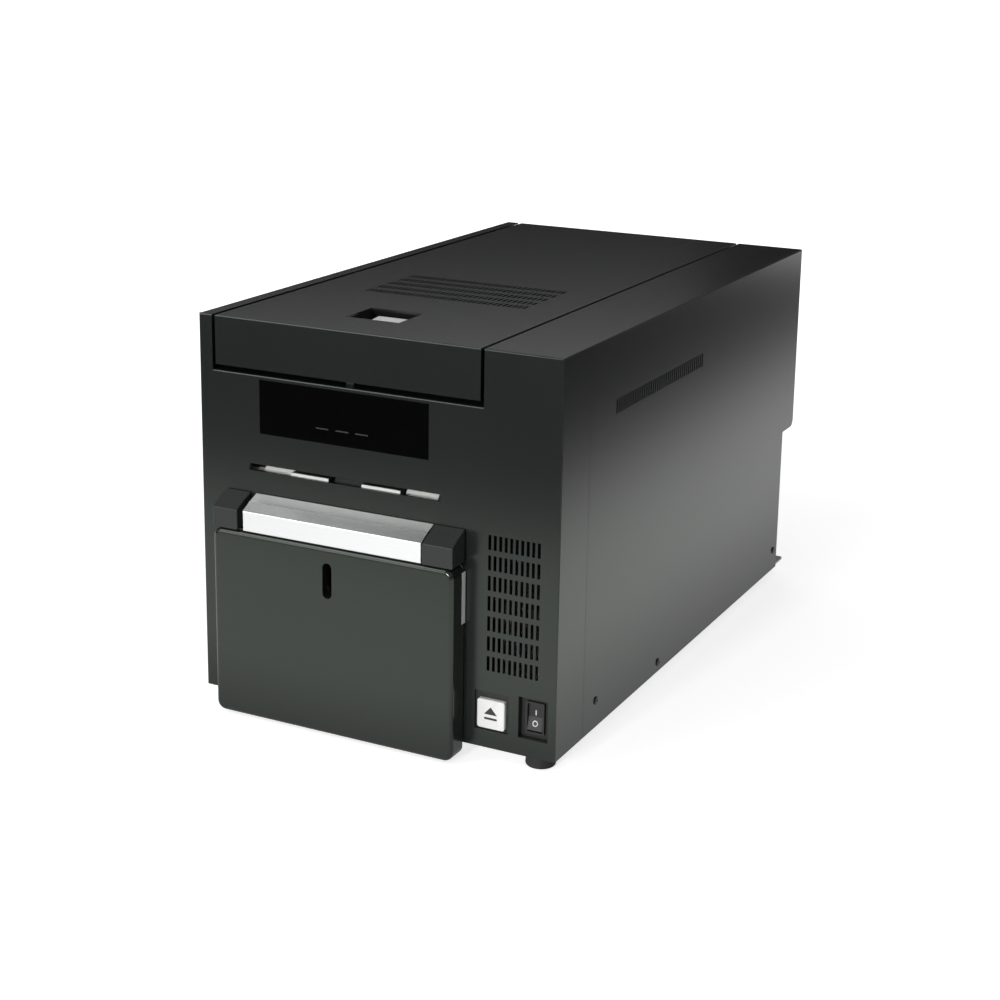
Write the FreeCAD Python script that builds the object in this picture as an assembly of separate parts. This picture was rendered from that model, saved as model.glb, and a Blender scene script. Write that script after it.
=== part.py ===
import FreeCAD, Part
import math
import os

# An ID card printer for large-format cards: a sheet-metal cabinet with a rear-hinged lid,
# a pull-out card hopper and a roller, print head and ribbon engine between two side frames.
# While the pieces are made, y is the depth behind the front panel and z the height above
# the table. save() moves them to the part's own frame, whose origin is the bottom centre.

# Sheets, seams and general values
cover_sheet = 1.2
fascia_sheet = 2.0
lid_sheet = 1.5
pan_sheet = 1.5
seam = 0.3
edge_round = 1.0
overrun = 5.0
match_limit = 0.01
running_fit = 0.12

# Card tray of the hopper, which sets the width of the print bay
tray_width = 150.0
tray_depth = 99.0
tray_low = 20.0
tray_height = 130.0
tray_wall = 2.5
tray_floor = 2.0
slide_space = 17.0

# Widths that make up the cabinet beside the drawer opening
belt_bay = 26.5
frame_bay = 17.7
left_strip = 11.0
fan_size = 50.0
fan_side_space = 7.8

# Heights that make up the cabinet above the tray
card_rise = 35.1
slot_drop = 2.1
slot_height = 5.0
slot_to_window = 23.0
window_height = 39.3
window_to_ledge = 2.8
lid_front_gap = 4.2
lid_skirt = 35.7

# Depths that make up the cabinet along the card path
pick_inset = 16.0
pick_to_feed = 93.0
feed_to_platen = 87.0
platen_to_pivot = 38.0
pivot_to_spool = 6.5
spool_to_frame_end = 87.0
frame_to_rear = 30.0
rear_step_depth = 27.0
rear_step_radius = 6.0
rear_recess = 6.0
door_proud = 19.0

# Base pan and feet
pan_flange = 24.0
tab_width = 18.0
tab_reach = 24.0
tab_round = 3.0
foot_height = 11.0
foot_radius = 11.0
foot_top_radius = 9.8
foot_round = 2.0
foot_front = 16.0
foot_front_side_inset = 18.0
foot_rear_inset = 22.0
foot_rear_side_inset = 30.0

# Lid and the strips beside it
lid_side_gap = 2.7
lid_side_flange = 19.0
lid_rear_skirt = 22.0
lid_rear_gap = 1.0
strip_flange = 25.0

# Front panel
fascia_return = 45.0
ledge_depth = 17.0
slot_side_space = 2.6
window_width = 136.4
window_fit = 0.15
window_lip = 3.0
window_lip_sheet = 1.2
drawer_low_gap = 5.0
drawer_headroom = 13.0

# Ventilation slots
vent_width = 2.2
vent_length = 10.5
vent_pitch = 4.1
vent_row_pitch = 14.5
front_vent_inset = 4.8
front_vent_rise = 57.0
front_vent_columns = 10
front_vent_rows = 7
side_vent_y = 88.0
side_vent_drop = 56.6
side_vent_count = 41
top_vent_inset = 45.3
top_vent_y = 131.0
top_vent_row_pitch = 16.4
top_vent_columns = 33
top_vent_rows = 5

# Eject button and its housing
button_inset = 9.0
button_rise = 25.4
button_size = 21.2
button_round = 2.0
button_proud = 1.3
button_length = 15.0
button_fit = 0.25
button_rim = 0.8
button_rim_gap = 0.4
button_rim_sheet = 1.5
button_side_margin = 2.4
button_low_margin = 1.7
button_top_margin = 5.4
button_housing_lip = 2.0
button_housing_wall = 1.5
button_end_gap = 2.0

# Power switch
switch_inset = 17.0
switch_rise = 28.0
switch_bezel_width = 14.0
switch_bezel_height = 23.2
switch_pocket_depth = 5.2
switch_bezel_proud = 2.4
switch_side_margin = 4.2
switch_end_margin = 3.4
switch_wall = 1.3
switch_body_depth = 18.0
switch_lip = 2.0
rocker_fit = 0.25
rocker_end_gap = 0.8
rocker_pivot_drop = 5.1
rocker_end_rise = 4.4
rocker_mid_rise = 3.0
rocker_back_radius = 3.2
rocker_pin_radius = 1.0
rocker_tilt = -7.0

# Side screws
screw_head_radius = 3.0
screw_head_height = 1.0
screw_shank_radius = 1.5
screw_reach = 3.2
front_screw_y = 67.0
front_screw_rise = 20.5
middle_screw_y = 184.0
middle_screw_rise = 7.8
rear_screw_inset = 10.0
rear_screw_rise = 18.0

# Lid hinges
hinge_rear_offset = 3.2
hinge_below_skirt = 2.5
hinge_knuckle_radius = 2.6
hinge_pin_radius = 1.2
hinge_leaf_sheet = 1.2
hinge_width = 44.0
hinge_middle = 15.4
hinge_gap = 0.3
hinge_leaf_height = 13.5
hinge_pin_overhang = 0.8
hinge_inset = 30.25
hinge_pin_fit = 0.1

# Lid latch
recess_offset = -0.8
recess_width = 42.8
recess_front = 42.0
recess_depth = 36.0
pocket_wall = 1.5
pocket_depth = 11.0
ramp_width = 8.0
latch_pivot_inset = 5.0
latch_pivot_drop = 8.5
latch_pin_radius = 1.5
latch_hub_radius = 3.4
latch_arm_width = 6.0
latch_side_gap = 0.8
hook_stem_y = 10.5
hook_stem_width = 3.0
hook_nose = 4.5
hook_nose_height = 2.6
hook_gap = 0.4
keeper_front = 8.0
keeper_half_width = 5.0
paddle_sheet = 2.0
paddle_rear_gap = 5.0
paddle_rise = 2.2

# Hopper door and handle
door_offset = 0.2
door_overlap = 5.6
door_bottom = 2.5
door_top_drop = 7.5
door_wall = 2.5
door_corner = 7.0
door_edge_round = 3.5
door_gap = 1.0
door_plate_sheet = 1.5
door_plate_inset = 1.0
door_ear_proud = 0.2
door_ear_thickness = 1.5
door_ear_depth = 3.2
door_ear_drop = 5.5
door_ear_height = 37.0
level_slot_offset = -1.7
level_slot_width = 7.5
level_slot_drop = 11.5
level_slot_height = 26.0
handle_seat_height = 1.0
handle_seat_inset = 4.0
handle_face_height = 14.5
handle_height = 23.1
handle_crease_share = 0.5
handle_crease_lift = 0.5
handle_end_inset = 0.5
left_cap_width = 20.8
left_cap_gap = 4.8
right_cap_width = 23.7
right_cap_gap = 0.6
handle_round = 0.8

# Drawer slides and card lift
drawer_travel = 105.0
slide_engagement = 63.0
slide_front = 8.0
slide_rise = 22.0
slide_height = 14.0
slide_sheet = 1.2
slide_fit = 0.3
slide_flange = 1.5
slide_flange_height = 18.0
platform_sheet = 4.0
platform_fit = 1.0
tongue_half_width = 6.0
tongue_fit = 0.5
carriage_gap = 2.5
carriage_depth = 11.5
lift_motor_size = 35.0
lift_motor_height = 14.0
lift_rod_offset = 40.0
lift_rod_radius = 3.0
lift_rod_margin = 3.0
lift_screw_radius = 3.2
lift_bracket_sheet = 2.5
lift_bracket_lap = 8.0
lift_fit = 0.15

# Engine frames
frame_sheet = 1.5
frame_front = 6.0
frame_shoulder_rise = 29.9
frame_top_rise = 30.0
frame_slope_front = 18.0
frame_slope_rear = 58.0
frame_foot = 10.0
frame_window_round = 8.0
frame_window_low = 27.5
front_frame_window = 34.0
front_frame_window_gap = 17.0
rear_frame_window_gap = 48.0
rear_frame_window_inset = 22.0
brace_radius = 4.0
front_brace_y = 36.0
front_brace_rise = 20.9
middle_brace_gap = 21.0
brace_end_inset = 14.0
low_brace_rise = 13.5
brace_top_drop = 22.0

# Card path and rollers
card_thickness = 0.76
nip_spare = 0.04
shaft_radius = 3.0
roller_side_space = 5.0
exit_y = 15.5
exit_radius = 7.0
exit_centre_half = 12.5
exit_outer_reach = 0.8
exit_outer_width = 25.4
feed_radius = 8.0
pinch_radius = 6.0
platen_radius = 12.0
pick_radius = 12.0
pick_half_length = 25.0
pick_gap = 0.7
bushing_radius = 5.2
bushing_flange_radius = 6.8
bushing_flange = 1.2
shaft_end = 3.0

# Guides
exit_guide_margin = 1.0
exit_guide_front = 3.0
exit_guide_rear = 26.0
exit_guide_sheet = 3.4
exit_guide_drop = 0.3
exit_guide_flange = 12.0
exit_notch = 1.0
ramp_front_gap = 16.0
ramp_rise = 6.0
ramp_end_gap = 4.0
ramp_sheet = 1.5

# Gears, belts and motors
gear_module = 1.5
platen_teeth = 38
pinion_teeth = 14
gear_width = 7.0
gear_bore_web = 4.0
gear_backlash = 0.2
gear_addendum_share = 0.8
gear_dedendum_share = 1.0
pressure_degrees = 20.0
belt_pitch = 2.032
belt_width = 5.0
belt_thickness = 1.2
belt_fit = 0.15
belt_side_fit = 0.3
pulley_flange = 0.8
pulley_flange_rise = 2.2
platen_pulley_teeth = 24
feed_pulley_teeth = 16
exit_pulley_teeth = 14
inner_belt_gap = 1.6
belt_spacing = 2.6
motor_size = 42.0
motor_length = 34.0
motor_corner = 5.0
motor_boss_radius = 11.0
motor_boss_height = 1.5
motor_shaft_radius = 2.5

# Print head and ribbon
head_pivot_rise = 39.9
head_bar_depth = 12.0
head_bar_height = 5.0
head_film_gap = 0.4
heatsink_depth = 24.0
heatsink_height = 14.0
heatsink_base = 4.0
heatsink_fins = 12
heatsink_fin_share = 0.45
head_arm_sheet = 3.0
head_arm_hub = 8.0
film_thickness = 0.3
film_gap = 0.4
film_side_space = 2.0
supply_radius = 28.0
takeup_offset = 10.0
takeup_radius = 22.0
spool_clearance = 16.4
spool_core_radius = 9.0
spool_core_reach = 14.0
spool_shaft_radius = 4.0
spool_flange_sheet = 2.0
spool_flange_rise = 2.5
ribbon_motor_size = 35.0
ribbon_motor_length = 14.0

# Electronics bay
partition_sheet = 1.2
partition_front = 30.0
partition_rear_gap = 3.0
partition_top_gap = 8.0
cable_way_size = 42.0
supply_box_gap = 3.45
supply_box_rear_gap = 62.0
supply_box_length = 170.0
supply_box_height = 50.0
board_gap = 3.0
board_sheet = 1.6
board_front = 120.0
board_rear_gap = 4.0
board_rise = 73.0
board_rear_length = 58.0
board_upper_height = 98.0
board_edge = 6.0
standoff_radius = 2.5
standoff_inset = 8.0
chip_size = 42.0
chip_height = 3.0
capacitor_radius = 8.0
capacitor_height = 22.0
connector_height = 10.5
socket_wall = 0.8
usb_height = 10.9
usb_width = 12.0
usb_inset = 8.0
ethernet_height = 13.5
ethernet_width = 16.0
port_depth = 18.0
port_fit = 0.3
port_tongue = 3.2
port_tongue_recess = 6.0
inlet_inset = 30.0
inlet_rise = 41.0
inlet_flange_width = 50.0
inlet_flange_height = 24.0
inlet_flange_sheet = 2.5
inlet_body_width = 28.0
inlet_body_height = 20.0
inlet_depth = 22.0
inlet_wall = 2.0
inlet_floor = 3.0
inlet_pin_width = 2.0
inlet_pin_height = 4.0
inlet_pin_length = 11.0
inlet_pin_spacing = 7.0

# Cooling fan
fan_inset = 28.0
fan_rise = 65.0
fan_depth = 10.0
fan_rim = 2.0
fan_tip_gap = 1.0
fan_hub_radius = 9.0
fan_blades = 7
fan_blade_sheet = 1.4
fan_blade_twist = 38.0
fan_shaft_radius = 1.5
fan_spider = 2.0
fan_spider_arm = 3.0
fan_grille_slots = 9
fan_grille_share = 0.92

# Widths that follow from the sizes above
drawer_opening_width = tray_width + 2 * slide_space
right_strip = fan_size + fan_side_space
body_width = belt_bay + drawer_opening_width + frame_bay + right_strip
half_width = body_width / 2
inner_half = half_width - cover_sheet - seam
bay_left = belt_bay - half_width
bay_right = bay_left + drawer_opening_width
bay_x = (bay_left + bay_right) / 2
strip_left = left_strip - half_width
strip_right = half_width - right_strip
lid_left = strip_left + lid_side_gap
lid_right = strip_right - lid_side_gap
frame_left_x = (bay_left - frame_sheet, bay_left)
frame_right_x = (bay_right, bay_right + frame_sheet)
partition_x = (strip_right + cover_sheet, strip_right + cover_sheet + partition_sheet)
idle_left = frame_left_x[0] - shaft_end
idle_right = frame_right_x[1] + shaft_end
door_x = bay_x + door_offset
door_width = drawer_opening_width + 2 * door_overlap
handle_left = door_x - door_width / 2 + handle_end_inset
handle_right = door_x + door_width / 2 - handle_end_inset
left_cap_x = (handle_left, handle_left + left_cap_width)
right_cap_x = (handle_right - right_cap_width, handle_right)
handle_bar_x = (left_cap_x[1] + left_cap_gap, right_cap_x[0] - right_cap_gap)
slot_width = tray_width + 2 * slot_side_space
roller_half_length = tray_width / 2 - roller_side_space
film_half_width = roller_half_length - film_side_space
exit_guide_half = roller_half_length + exit_guide_margin
exit_outer_end = roller_half_length + exit_outer_reach
carriage_half_width = lift_rod_offset + lift_rod_radius + lift_rod_margin
inner_belt_x = (frame_left_x[0] - inner_belt_gap - belt_width, frame_left_x[0] - inner_belt_gap)
outer_belt_x = (inner_belt_x[0] - belt_spacing - belt_width, inner_belt_x[0] - belt_spacing)
gear_x = (outer_belt_x[1] - gear_width, outer_belt_x[1])
front_vent_x = strip_right + front_vent_inset
button_x = strip_right + button_inset
switch_x = half_width - switch_inset
inlet_x = half_width - inlet_inset
fan_x = half_width - fan_inset
fan_bore_radius = fan_size / 2 - fan_rim
fan_blade_radius = fan_bore_radius - fan_tip_gap
recess_x = bay_x + recess_offset
top_vent_x = lid_left + top_vent_inset
hinge_offset = (lid_right - lid_left) / 2 - hinge_inset
button_pocket_width = button_size + 2 * button_side_margin
switch_pocket_width = switch_bezel_width + 2 * switch_side_margin
switch_pocket_height = switch_bezel_height + 2 * switch_end_margin
rocker_half_length = switch_bezel_height / 2 - switch_wall - rocker_end_gap

# Heights that follow
floor_z = foot_height
pan_top = floor_z + pan_sheet
tray_top = tray_low + tray_height
nip = card_thickness + nip_spare
card_floor = tray_top + card_rise
card_top = card_floor + nip
slot_low = card_floor - slot_drop
window_low = slot_low + slot_height + slot_to_window
ledge_z = window_low + window_height + window_to_ledge
top_z = ledge_z + lid_front_gap + lid_skirt
lid_under = top_z - lid_sheet
lid_rear_low = top_z - lid_rear_skirt
hinge_z = lid_rear_low - hinge_below_skirt
drawer_opening_low = tray_low - drawer_low_gap
drawer_opening_top = tray_top + drawer_headroom
door_top = tray_top - door_top_drop
level_slot_low = door_top - level_slot_drop - level_slot_height
latch_pivot_z = top_z - latch_pivot_drop
slide_z = tray_low + slide_rise
carriage_low = tray_low + lift_bracket_sheet + lift_motor_height
exit_low_z = card_floor - exit_radius
exit_high_z = card_top + exit_radius
feed_low_z = card_floor - feed_radius
feed_high_z = card_top + pinch_radius
platen_z = card_floor - platen_radius
pick_z = tray_top + pick_gap + pick_radius
gear_distance = gear_module * (platen_teeth + pinion_teeth) / 2
motor_z = platen_z - gear_distance
film_z = card_top + film_gap
head_z = film_z + film_thickness + head_film_gap
head_pivot_z = card_floor + head_pivot_rise
spool_z = card_floor + spool_clearance + supply_radius + spool_flange_rise
frame_shoulder = card_floor + frame_shoulder_rise
frame_top = spool_z + frame_top_rise
button_z = floor_z + button_rise
button_pocket_low = button_z - button_size / 2 - button_low_margin
button_pocket_z = (button_pocket_low, button_z + button_size / 2 + button_top_margin)
switch_z = floor_z + switch_rise
switch_front = switch_pocket_depth - switch_bezel_proud
rocker_pivot_depth = switch_front + rocker_pivot_drop
inlet_z = floor_z + inlet_rise
front_vent_z = floor_z + front_vent_rise
side_vent_z = top_z - side_vent_drop
partition_top = top_z - partition_top_gap
board_low = floor_z + board_rise
usb_z = board_low + usb_inset
ethernet_z = usb_z + usb_width + board_edge
board_top = ethernet_z + ethernet_width + board_edge
step_z = board_top + board_gap
board_high = board_top + board_upper_height
fan_z = step_z + fan_rise

# Depths that follow
pick_y = tray_depth - door_gap - pick_inset
feed_y = pick_y + pick_to_feed
takeup_y = feed_y - takeup_offset
platen_y = feed_y + feed_to_platen
head_pivot_y = platen_y + platen_to_pivot
supply_y = head_pivot_y + head_arm_hub + pivot_to_spool + supply_radius + spool_flange_rise
frame_rear = supply_y + spool_to_frame_end
rear_low = frame_rear + frame_to_rear
body_depth = rear_low + rear_step_depth
rear_high = body_depth - rear_recess
hinge_y = rear_high + hinge_rear_offset
front_y = (door_proud - body_depth) / 2
foot_rear = rear_low - foot_rear_inset
partition_rear = rear_low - partition_rear_gap
board_rear = rear_low - board_rear_gap
board_step = board_rear - board_rear_length
supply_box_front = rear_low - supply_box_rear_gap - supply_box_length
latch_pivot_y = recess_front + latch_pivot_inset
door_front = -door_proud
door_back = -door_gap - door_plate_sheet
tray_rear = tray_depth - door_gap
rod_depth = tray_rear + carriage_gap + carriage_depth / 2
screw_depth = tray_rear + carriage_gap + lift_motor_size / 2
slide_length = drawer_travel + slide_engagement
ramp_start_y = tray_rear + ramp_front_gap
ramp_start_z = tray_top + ramp_rise
button_rim_depth = fascia_sheet + button_housing_wall + button_rim_gap
button_housing_depth = button_length + button_end_gap

# Places that several pieces share, as depth and height
screw_places = ((front_screw_y, floor_z + front_screw_rise), (middle_screw_y, floor_z + middle_screw_rise),
                (rear_low - rear_screw_inset, floor_z + rear_screw_rise))
brace_places = ((front_brace_y, card_floor + front_brace_rise),
                (feed_y + middle_brace_gap, pan_top + low_brace_rise),
                (frame_rear - brace_end_inset, pan_top + low_brace_rise),
                (frame_rear - brace_end_inset, frame_top - brace_top_drop),
                (head_pivot_y, head_pivot_z))
frame_window_z = (pan_top + frame_window_low, tray_top)
front_frame_window_y = (feed_y + front_frame_window_gap, feed_y + front_frame_window_gap + front_frame_window)
rear_frame_window_y = (platen_y + rear_frame_window_gap, frame_rear - rear_frame_window_inset)
V = FreeCAD.Vector


def around(centre, width):
    """Span of a given width about a centre."""
    return (centre - width / 2, centre + width / 2)


def grown(span, margin):
    """Span widened by a margin at both ends."""
    return (span[0] - margin, span[1] + margin)


def block(x, y, z):
    """Box that fills three spans."""
    return Part.makeBox(x[1] - x[0], y[1] - y[0], z[1] - z[0], V(x[0], y[0], z[0]))


def rod_x(x, y, z, radius):
    """Round bar along x."""
    return Part.makeCylinder(radius, x[1] - x[0], V(x[0], y, z), V(1, 0, 0))


def rod_y(x, y, z, radius):
    """Round bar along y."""
    return Part.makeCylinder(radius, y[1] - y[0], V(x, y[0], z), V(0, 1, 0))


def rod_z(x, y, z, radius):
    """Round bar along z."""
    return Part.makeCylinder(radius, z[1] - z[0], V(x, y, z[0]), V(0, 0, 1))


def prism_x(points, x):
    """Outline of (y, z) points, extruded over a span of x."""
    corners = [V(x[0], y, z) for y, z in points]
    outline = Part.makePolygon(corners + corners[:1])
    return Part.Face(outline).extrude(V(x[1] - x[0], 0, 0))


def prism_y(points, y):
    """Outline of (x, z) points, extruded over a span of y."""
    corners = [V(x, y[0], z) for x, z in points]
    outline = Part.makePolygon(corners + corners[:1])
    return Part.Face(outline).extrude(V(0, y[1] - y[0], 0))


def obround_y(x, y, z):
    """Upright slot with round ends, cut along y."""
    radius = (x[1] - x[0]) / 2
    centre = (x[0] + x[1]) / 2
    ends = [rod_y(centre, y, z[0] + radius, radius), rod_y(centre, y, z[1] - radius, radius)]
    return block(x, y, grown(z, -radius)).fuse(ends)


def joined(shapes):
    """One solid from touching shapes."""
    return shapes[0].fuse(shapes[1:]).removeSplitter()


def lies_at(edge, place):
    """Whether an edge lies at the named coordinates."""
    box = edge.BoundBox
    spans = {"x": (box.XMin, box.XMax), "y": (box.YMin, box.YMax), "z": (box.ZMin, box.ZMax)}
    return all(abs(end - value) < match_limit for name, value in place.items() for end in spans[name])


def softened(shape, radius, places):
    """Round the edges that lie at any of the places."""
    edges = [edge for edge in shape.Edges if any(lies_at(edge, place) for place in places)]
    return shape.makeFillet(radius, edges)


def rounded_y(x, y, z, radius):
    """Box whose four edges along y are round."""
    return softened(block(x, y, z), radius, [{"x": a, "z": b} for a in x for b in z])


def rounded_x(x, y, z, radius):
    """Box whose four edges along x are round."""
    return softened(block(x, y, z), radius, [{"y": a, "z": b} for a in y for b in z])


def save(node, shape):
    """Write one node, moved to the part's own frame."""
    moved = shape.copy()
    moved.translate(V(0, front_y, 0))
    moved.exportStep("parts/" + node + ".step")


def screw_holes(side, radius, depth):
    """Cutters for the side screws, from the outer face of one side inwards."""
    outer = side * (half_width + overrun)
    inner = side * (half_width - depth)
    span = (min(outer, inner), max(outer, inner))
    return [rod_x(span, y, z, radius) for y, z in screw_places]


def base_pan():
    """Floor of the cabinet with side and rear flanges and two rear tabs."""
    x = (-inner_half, inner_half)
    y = (fascia_sheet + seam, rear_low - cover_sheet - seam)
    floor = block(x, y, (floor_z, pan_top))
    flanges = [block((x[0], x[0] + pan_sheet), y, (floor_z, floor_z + pan_flange)),
               block((x[1] - pan_sheet, x[1]), y, (floor_z, floor_z + pan_flange)),
               block(x, (y[1] - pan_sheet, y[1]), (floor_z, floor_z + pan_flange))]
    tabs = []
    for side in (-1, 1):
        edge = side * inner_half
        inner = edge - side * tab_width
        tab_x = (min(edge, inner), max(edge, inner))
        tab = block(tab_x, (y[1] - pan_sheet, rear_low + tab_reach), (floor_z, pan_top))
        tip = [{"x": corner, "y": rear_low + tab_reach} for corner in tab_x]
        tabs.append(softened(tab, tab_round, tip))
    pan = joined([floor] + flanges + tabs)
    cutters = screw_holes(1, screw_shank_radius + seam / 2, screw_reach + overrun)
    cutters += screw_holes(-1, screw_shank_radius + seam / 2, screw_reach + overrun)
    return pan.cut(cutters)


def vent_cutters(first_x, first_z, columns, rows, y):
    """Upright slots through a panel that faces forward."""
    cutters = []
    for column in range(columns):
        for row in range(rows):
            left = first_x + column * vent_pitch
            low = first_z + row * vent_row_pitch
            cutters.append(block((left, left + vent_width), y, (low, low + vent_length)))
    return cutters


def front_fascia():
    """Front panel with its returns, ledge, window, card slot, vents and pockets."""
    plate_y = (0, fascia_sheet)
    x = (-half_width, half_width)
    plate = block(x, plate_y, (floor_z, ledge_z))
    left_column = block((x[0], strip_left), plate_y, (ledge_z - overrun, top_z))
    right_column = block((strip_right, x[1]), plate_y, (ledge_z - overrun, top_z))
    ledge = block((strip_left, strip_right), (0, ledge_depth), (ledge_z - cover_sheet, ledge_z))
    pieces = [plate, left_column, right_column, ledge]
    for side_x in ((x[0], x[0] + cover_sheet), (x[1] - cover_sheet, x[1])):
        pieces.append(block(side_x, (0, fascia_return), (floor_z, top_z - cover_sheet - seam)))
    shell = joined(pieces)
    front_edges = [{"x": x[0], "y": 0}, {"x": x[1], "y": 0}, {"y": 0, "z": top_z}, {"y": 0, "z": ledge_z}]
    shell = softened(shell, edge_round, front_edges)
    through = grown(plate_y, overrun)
    drawer_z = (drawer_opening_low, drawer_opening_top)
    window_z = (window_low, window_low + window_height)
    keeper_y = (keeper_front, ledge_depth + overrun)
    cutters = [block((bay_left, bay_right), through, drawer_z),
               block(around(bay_x, slot_width), through, (slot_low, slot_low + slot_height)),
               block(around(bay_x, window_width), (-overrun, fascia_sheet + overrun), window_z),
               block(around(button_x, button_pocket_width), through, button_pocket_z),
               block(around(switch_x, switch_pocket_width), through, around(switch_z, switch_pocket_height)),
               block(around(bay_x, 2 * keeper_half_width), keeper_y, grown((ledge_z, ledge_z), overrun))]
    cutters += vent_cutters(front_vent_x, front_vent_z, front_vent_columns, front_vent_rows, through)
    return shell.cut(cutters)


def side_sheet(x):
    """Side wall outline with the overhang at the upper rear."""
    front = fascia_return + seam
    points = [(front, floor_z), (rear_low, floor_z), (rear_low, step_z), (body_depth, step_z),
              (body_depth, top_z), (front, top_z)]
    wall = prism_x(points, x)
    return softened(wall, rear_step_radius, [{"y": body_depth, "z": step_z}])


def side_cover(side, inner_x):
    """Side wall, top strip and the strip's inner flange for one side of the cabinet."""
    outer = side * half_width
    wall_in = outer - side * cover_sheet
    flange_in = inner_x + side * cover_sheet
    wall = side_sheet((min(outer, wall_in), max(outer, wall_in)))
    strip_x = (min(outer, inner_x), max(outer, inner_x))
    strip = block(strip_x, (fascia_sheet + seam, body_depth), (top_z - cover_sheet, top_z))
    flange_x = (min(inner_x, flange_in), max(inner_x, flange_in))
    flange = block(flange_x, (fascia_sheet + seam, rear_high - cover_sheet - seam),
                   (top_z - strip_flange, top_z - cover_sheet / 2))
    cover = joined([wall, strip, flange])
    cover = softened(cover, edge_round, [{"x": outer, "z": top_z}])
    return cover.cut(screw_holes(side, screw_shank_radius + seam / 2, screw_reach + overrun))


def right_cover():
    """Right cover with its wide top strip and a row of vents."""
    cover = side_cover(1, strip_right)
    cutters = []
    for index in range(side_vent_count):
        low = side_vent_y + index * vent_pitch
        span = (half_width - cover_sheet - overrun, half_width + overrun)
        cutters.append(block(span, (low, low + vent_width), (side_vent_z, side_vent_z + vent_length)))
    return cover.cut(cutters)


def left_cover():
    """Left cover with its narrow top strip."""
    return side_cover(-1, strip_left)


def fan_grille_cutters():
    """Upright slots whose ends follow the fan's circle."""
    cutters = []
    pitch = 2 * fan_bore_radius / (fan_grille_slots + 1)
    for index in range(fan_grille_slots):
        offset = (index + 1) * pitch - fan_bore_radius
        reach = fan_grille_share * math.sqrt(fan_bore_radius ** 2 - offset ** 2)
        y = (rear_high - cover_sheet - overrun, rear_high + overrun)
        cutters.append(block(around(fan_x + offset, vent_width), y, around(fan_z, 2 * reach)))
    return cutters


def port_spans():
    """Spans of the two data ports that lie on the main board."""
    face = partition_x[1] + board_gap + board_sheet
    y = (rear_low - port_depth, rear_low)
    return [((face, face + usb_height), y, (usb_z, usb_z + usb_width)),
            ((face, face + ethernet_height), y, (ethernet_z, ethernet_z + ethernet_width))]


def rear_panel():
    """Stepped rear panel with cut-outs for the sockets and the fan grille."""
    x = (-inner_half, inner_half)
    low_y = (rear_low - cover_sheet, rear_low)
    high_y = (rear_high - cover_sheet, rear_high)
    lower = block(x, low_y, (pan_top + seam, step_z + cover_sheet))
    shelf = block(x, (low_y[0], high_y[1]), (step_z, step_z + cover_sheet))
    upper = block(x, high_y, (step_z, lid_rear_low - lid_rear_gap))
    right_ear = block((strip_right + cover_sheet + seam, x[1]), high_y, (step_z, top_z - cover_sheet - seam))
    left_ear = block((x[0], strip_left - cover_sheet - seam), high_y, (step_z, top_z - cover_sheet - seam))
    panel = joined([lower, shelf, upper, right_ear, left_ear])
    through = grown(low_y, overrun)
    cutters = [block(around(inlet_x, inlet_body_width + 2 * port_fit), through,
                     around(inlet_z, inlet_body_height + 2 * port_fit))]
    for port_x, port_y, port_z in port_spans():
        cutters.append(block(grown(port_x, port_fit), through, grown(port_z, port_fit)))
    for offset in (-1, 1):
        hole_x = inlet_x + offset * (inlet_flange_width + inlet_body_width) / 4
        cutters.append(rod_y(hole_x, through, inlet_z, screw_shank_radius + seam / 2))
    return panel.cut(cutters + fan_grille_cutters())


def partition_wall():
    """Upright wall between the print bay and the electronics bay."""
    wall = block(partition_x, (partition_front, partition_rear), (pan_top, partition_top))
    cable_way = rounded_x(grown(partition_x, overrun), (board_front, board_front + cable_way_size),
                          (board_low - cable_way_size, board_low), frame_window_round)
    return wall.cut(cable_way)


def shaft_places():
    """Depth, height and radius of every shaft that runs in both frames."""
    return [(exit_y, exit_low_z, shaft_radius), (exit_y, exit_high_z, shaft_radius),
            (feed_y, feed_low_z, shaft_radius), (feed_y, feed_high_z, shaft_radius),
            (platen_y, platen_z, shaft_radius), (pick_y, pick_z, shaft_radius),
            (supply_y, spool_z, spool_shaft_radius), (takeup_y, spool_z, spool_shaft_radius)]


def engine_frame(x, foot_x, with_motor):
    """One side frame with bearing holes, windows and a foot flange."""
    points = [(frame_front, pan_top), (frame_rear, pan_top),
              (frame_rear, frame_top), (frame_slope_rear, frame_top),
              (frame_slope_front, frame_shoulder), (frame_front, frame_shoulder)]
    plate = prism_x(points, x)
    foot = block(foot_x, (frame_front, frame_rear), (pan_top, pan_top + frame_sheet))
    frame = joined([plate, foot])
    through = grown(x, overrun)
    bushing_growth = bushing_radius - shaft_radius
    cutters = [rod_x(through, y, z, radius + bushing_growth) for y, z, radius in shaft_places()]
    for window_y in (front_frame_window_y, rear_frame_window_y):
        cutters.append(rounded_x(through, window_y, frame_window_z, frame_window_round))
    if with_motor:
        cutters.append(rod_x(through, platen_y, motor_z, motor_boss_radius + running_fit))
    return frame.cut(cutters)


def frame_left():
    """Left engine frame, which also carries the transport motor."""
    return engine_frame(frame_left_x, (frame_left_x[0] - frame_foot, frame_left_x[1]), True)


def frame_right():
    """Right engine frame."""
    return engine_frame(frame_right_x, (frame_right_x[0], frame_right_x[1] + frame_foot), False)


def cross_braces():
    """Round spacers that hold the two frames apart, and the head's pivot bar."""
    return Part.makeCompound([rod_x((bay_left, bay_right), y, z, brace_radius) for y, z in brace_places])


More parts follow.
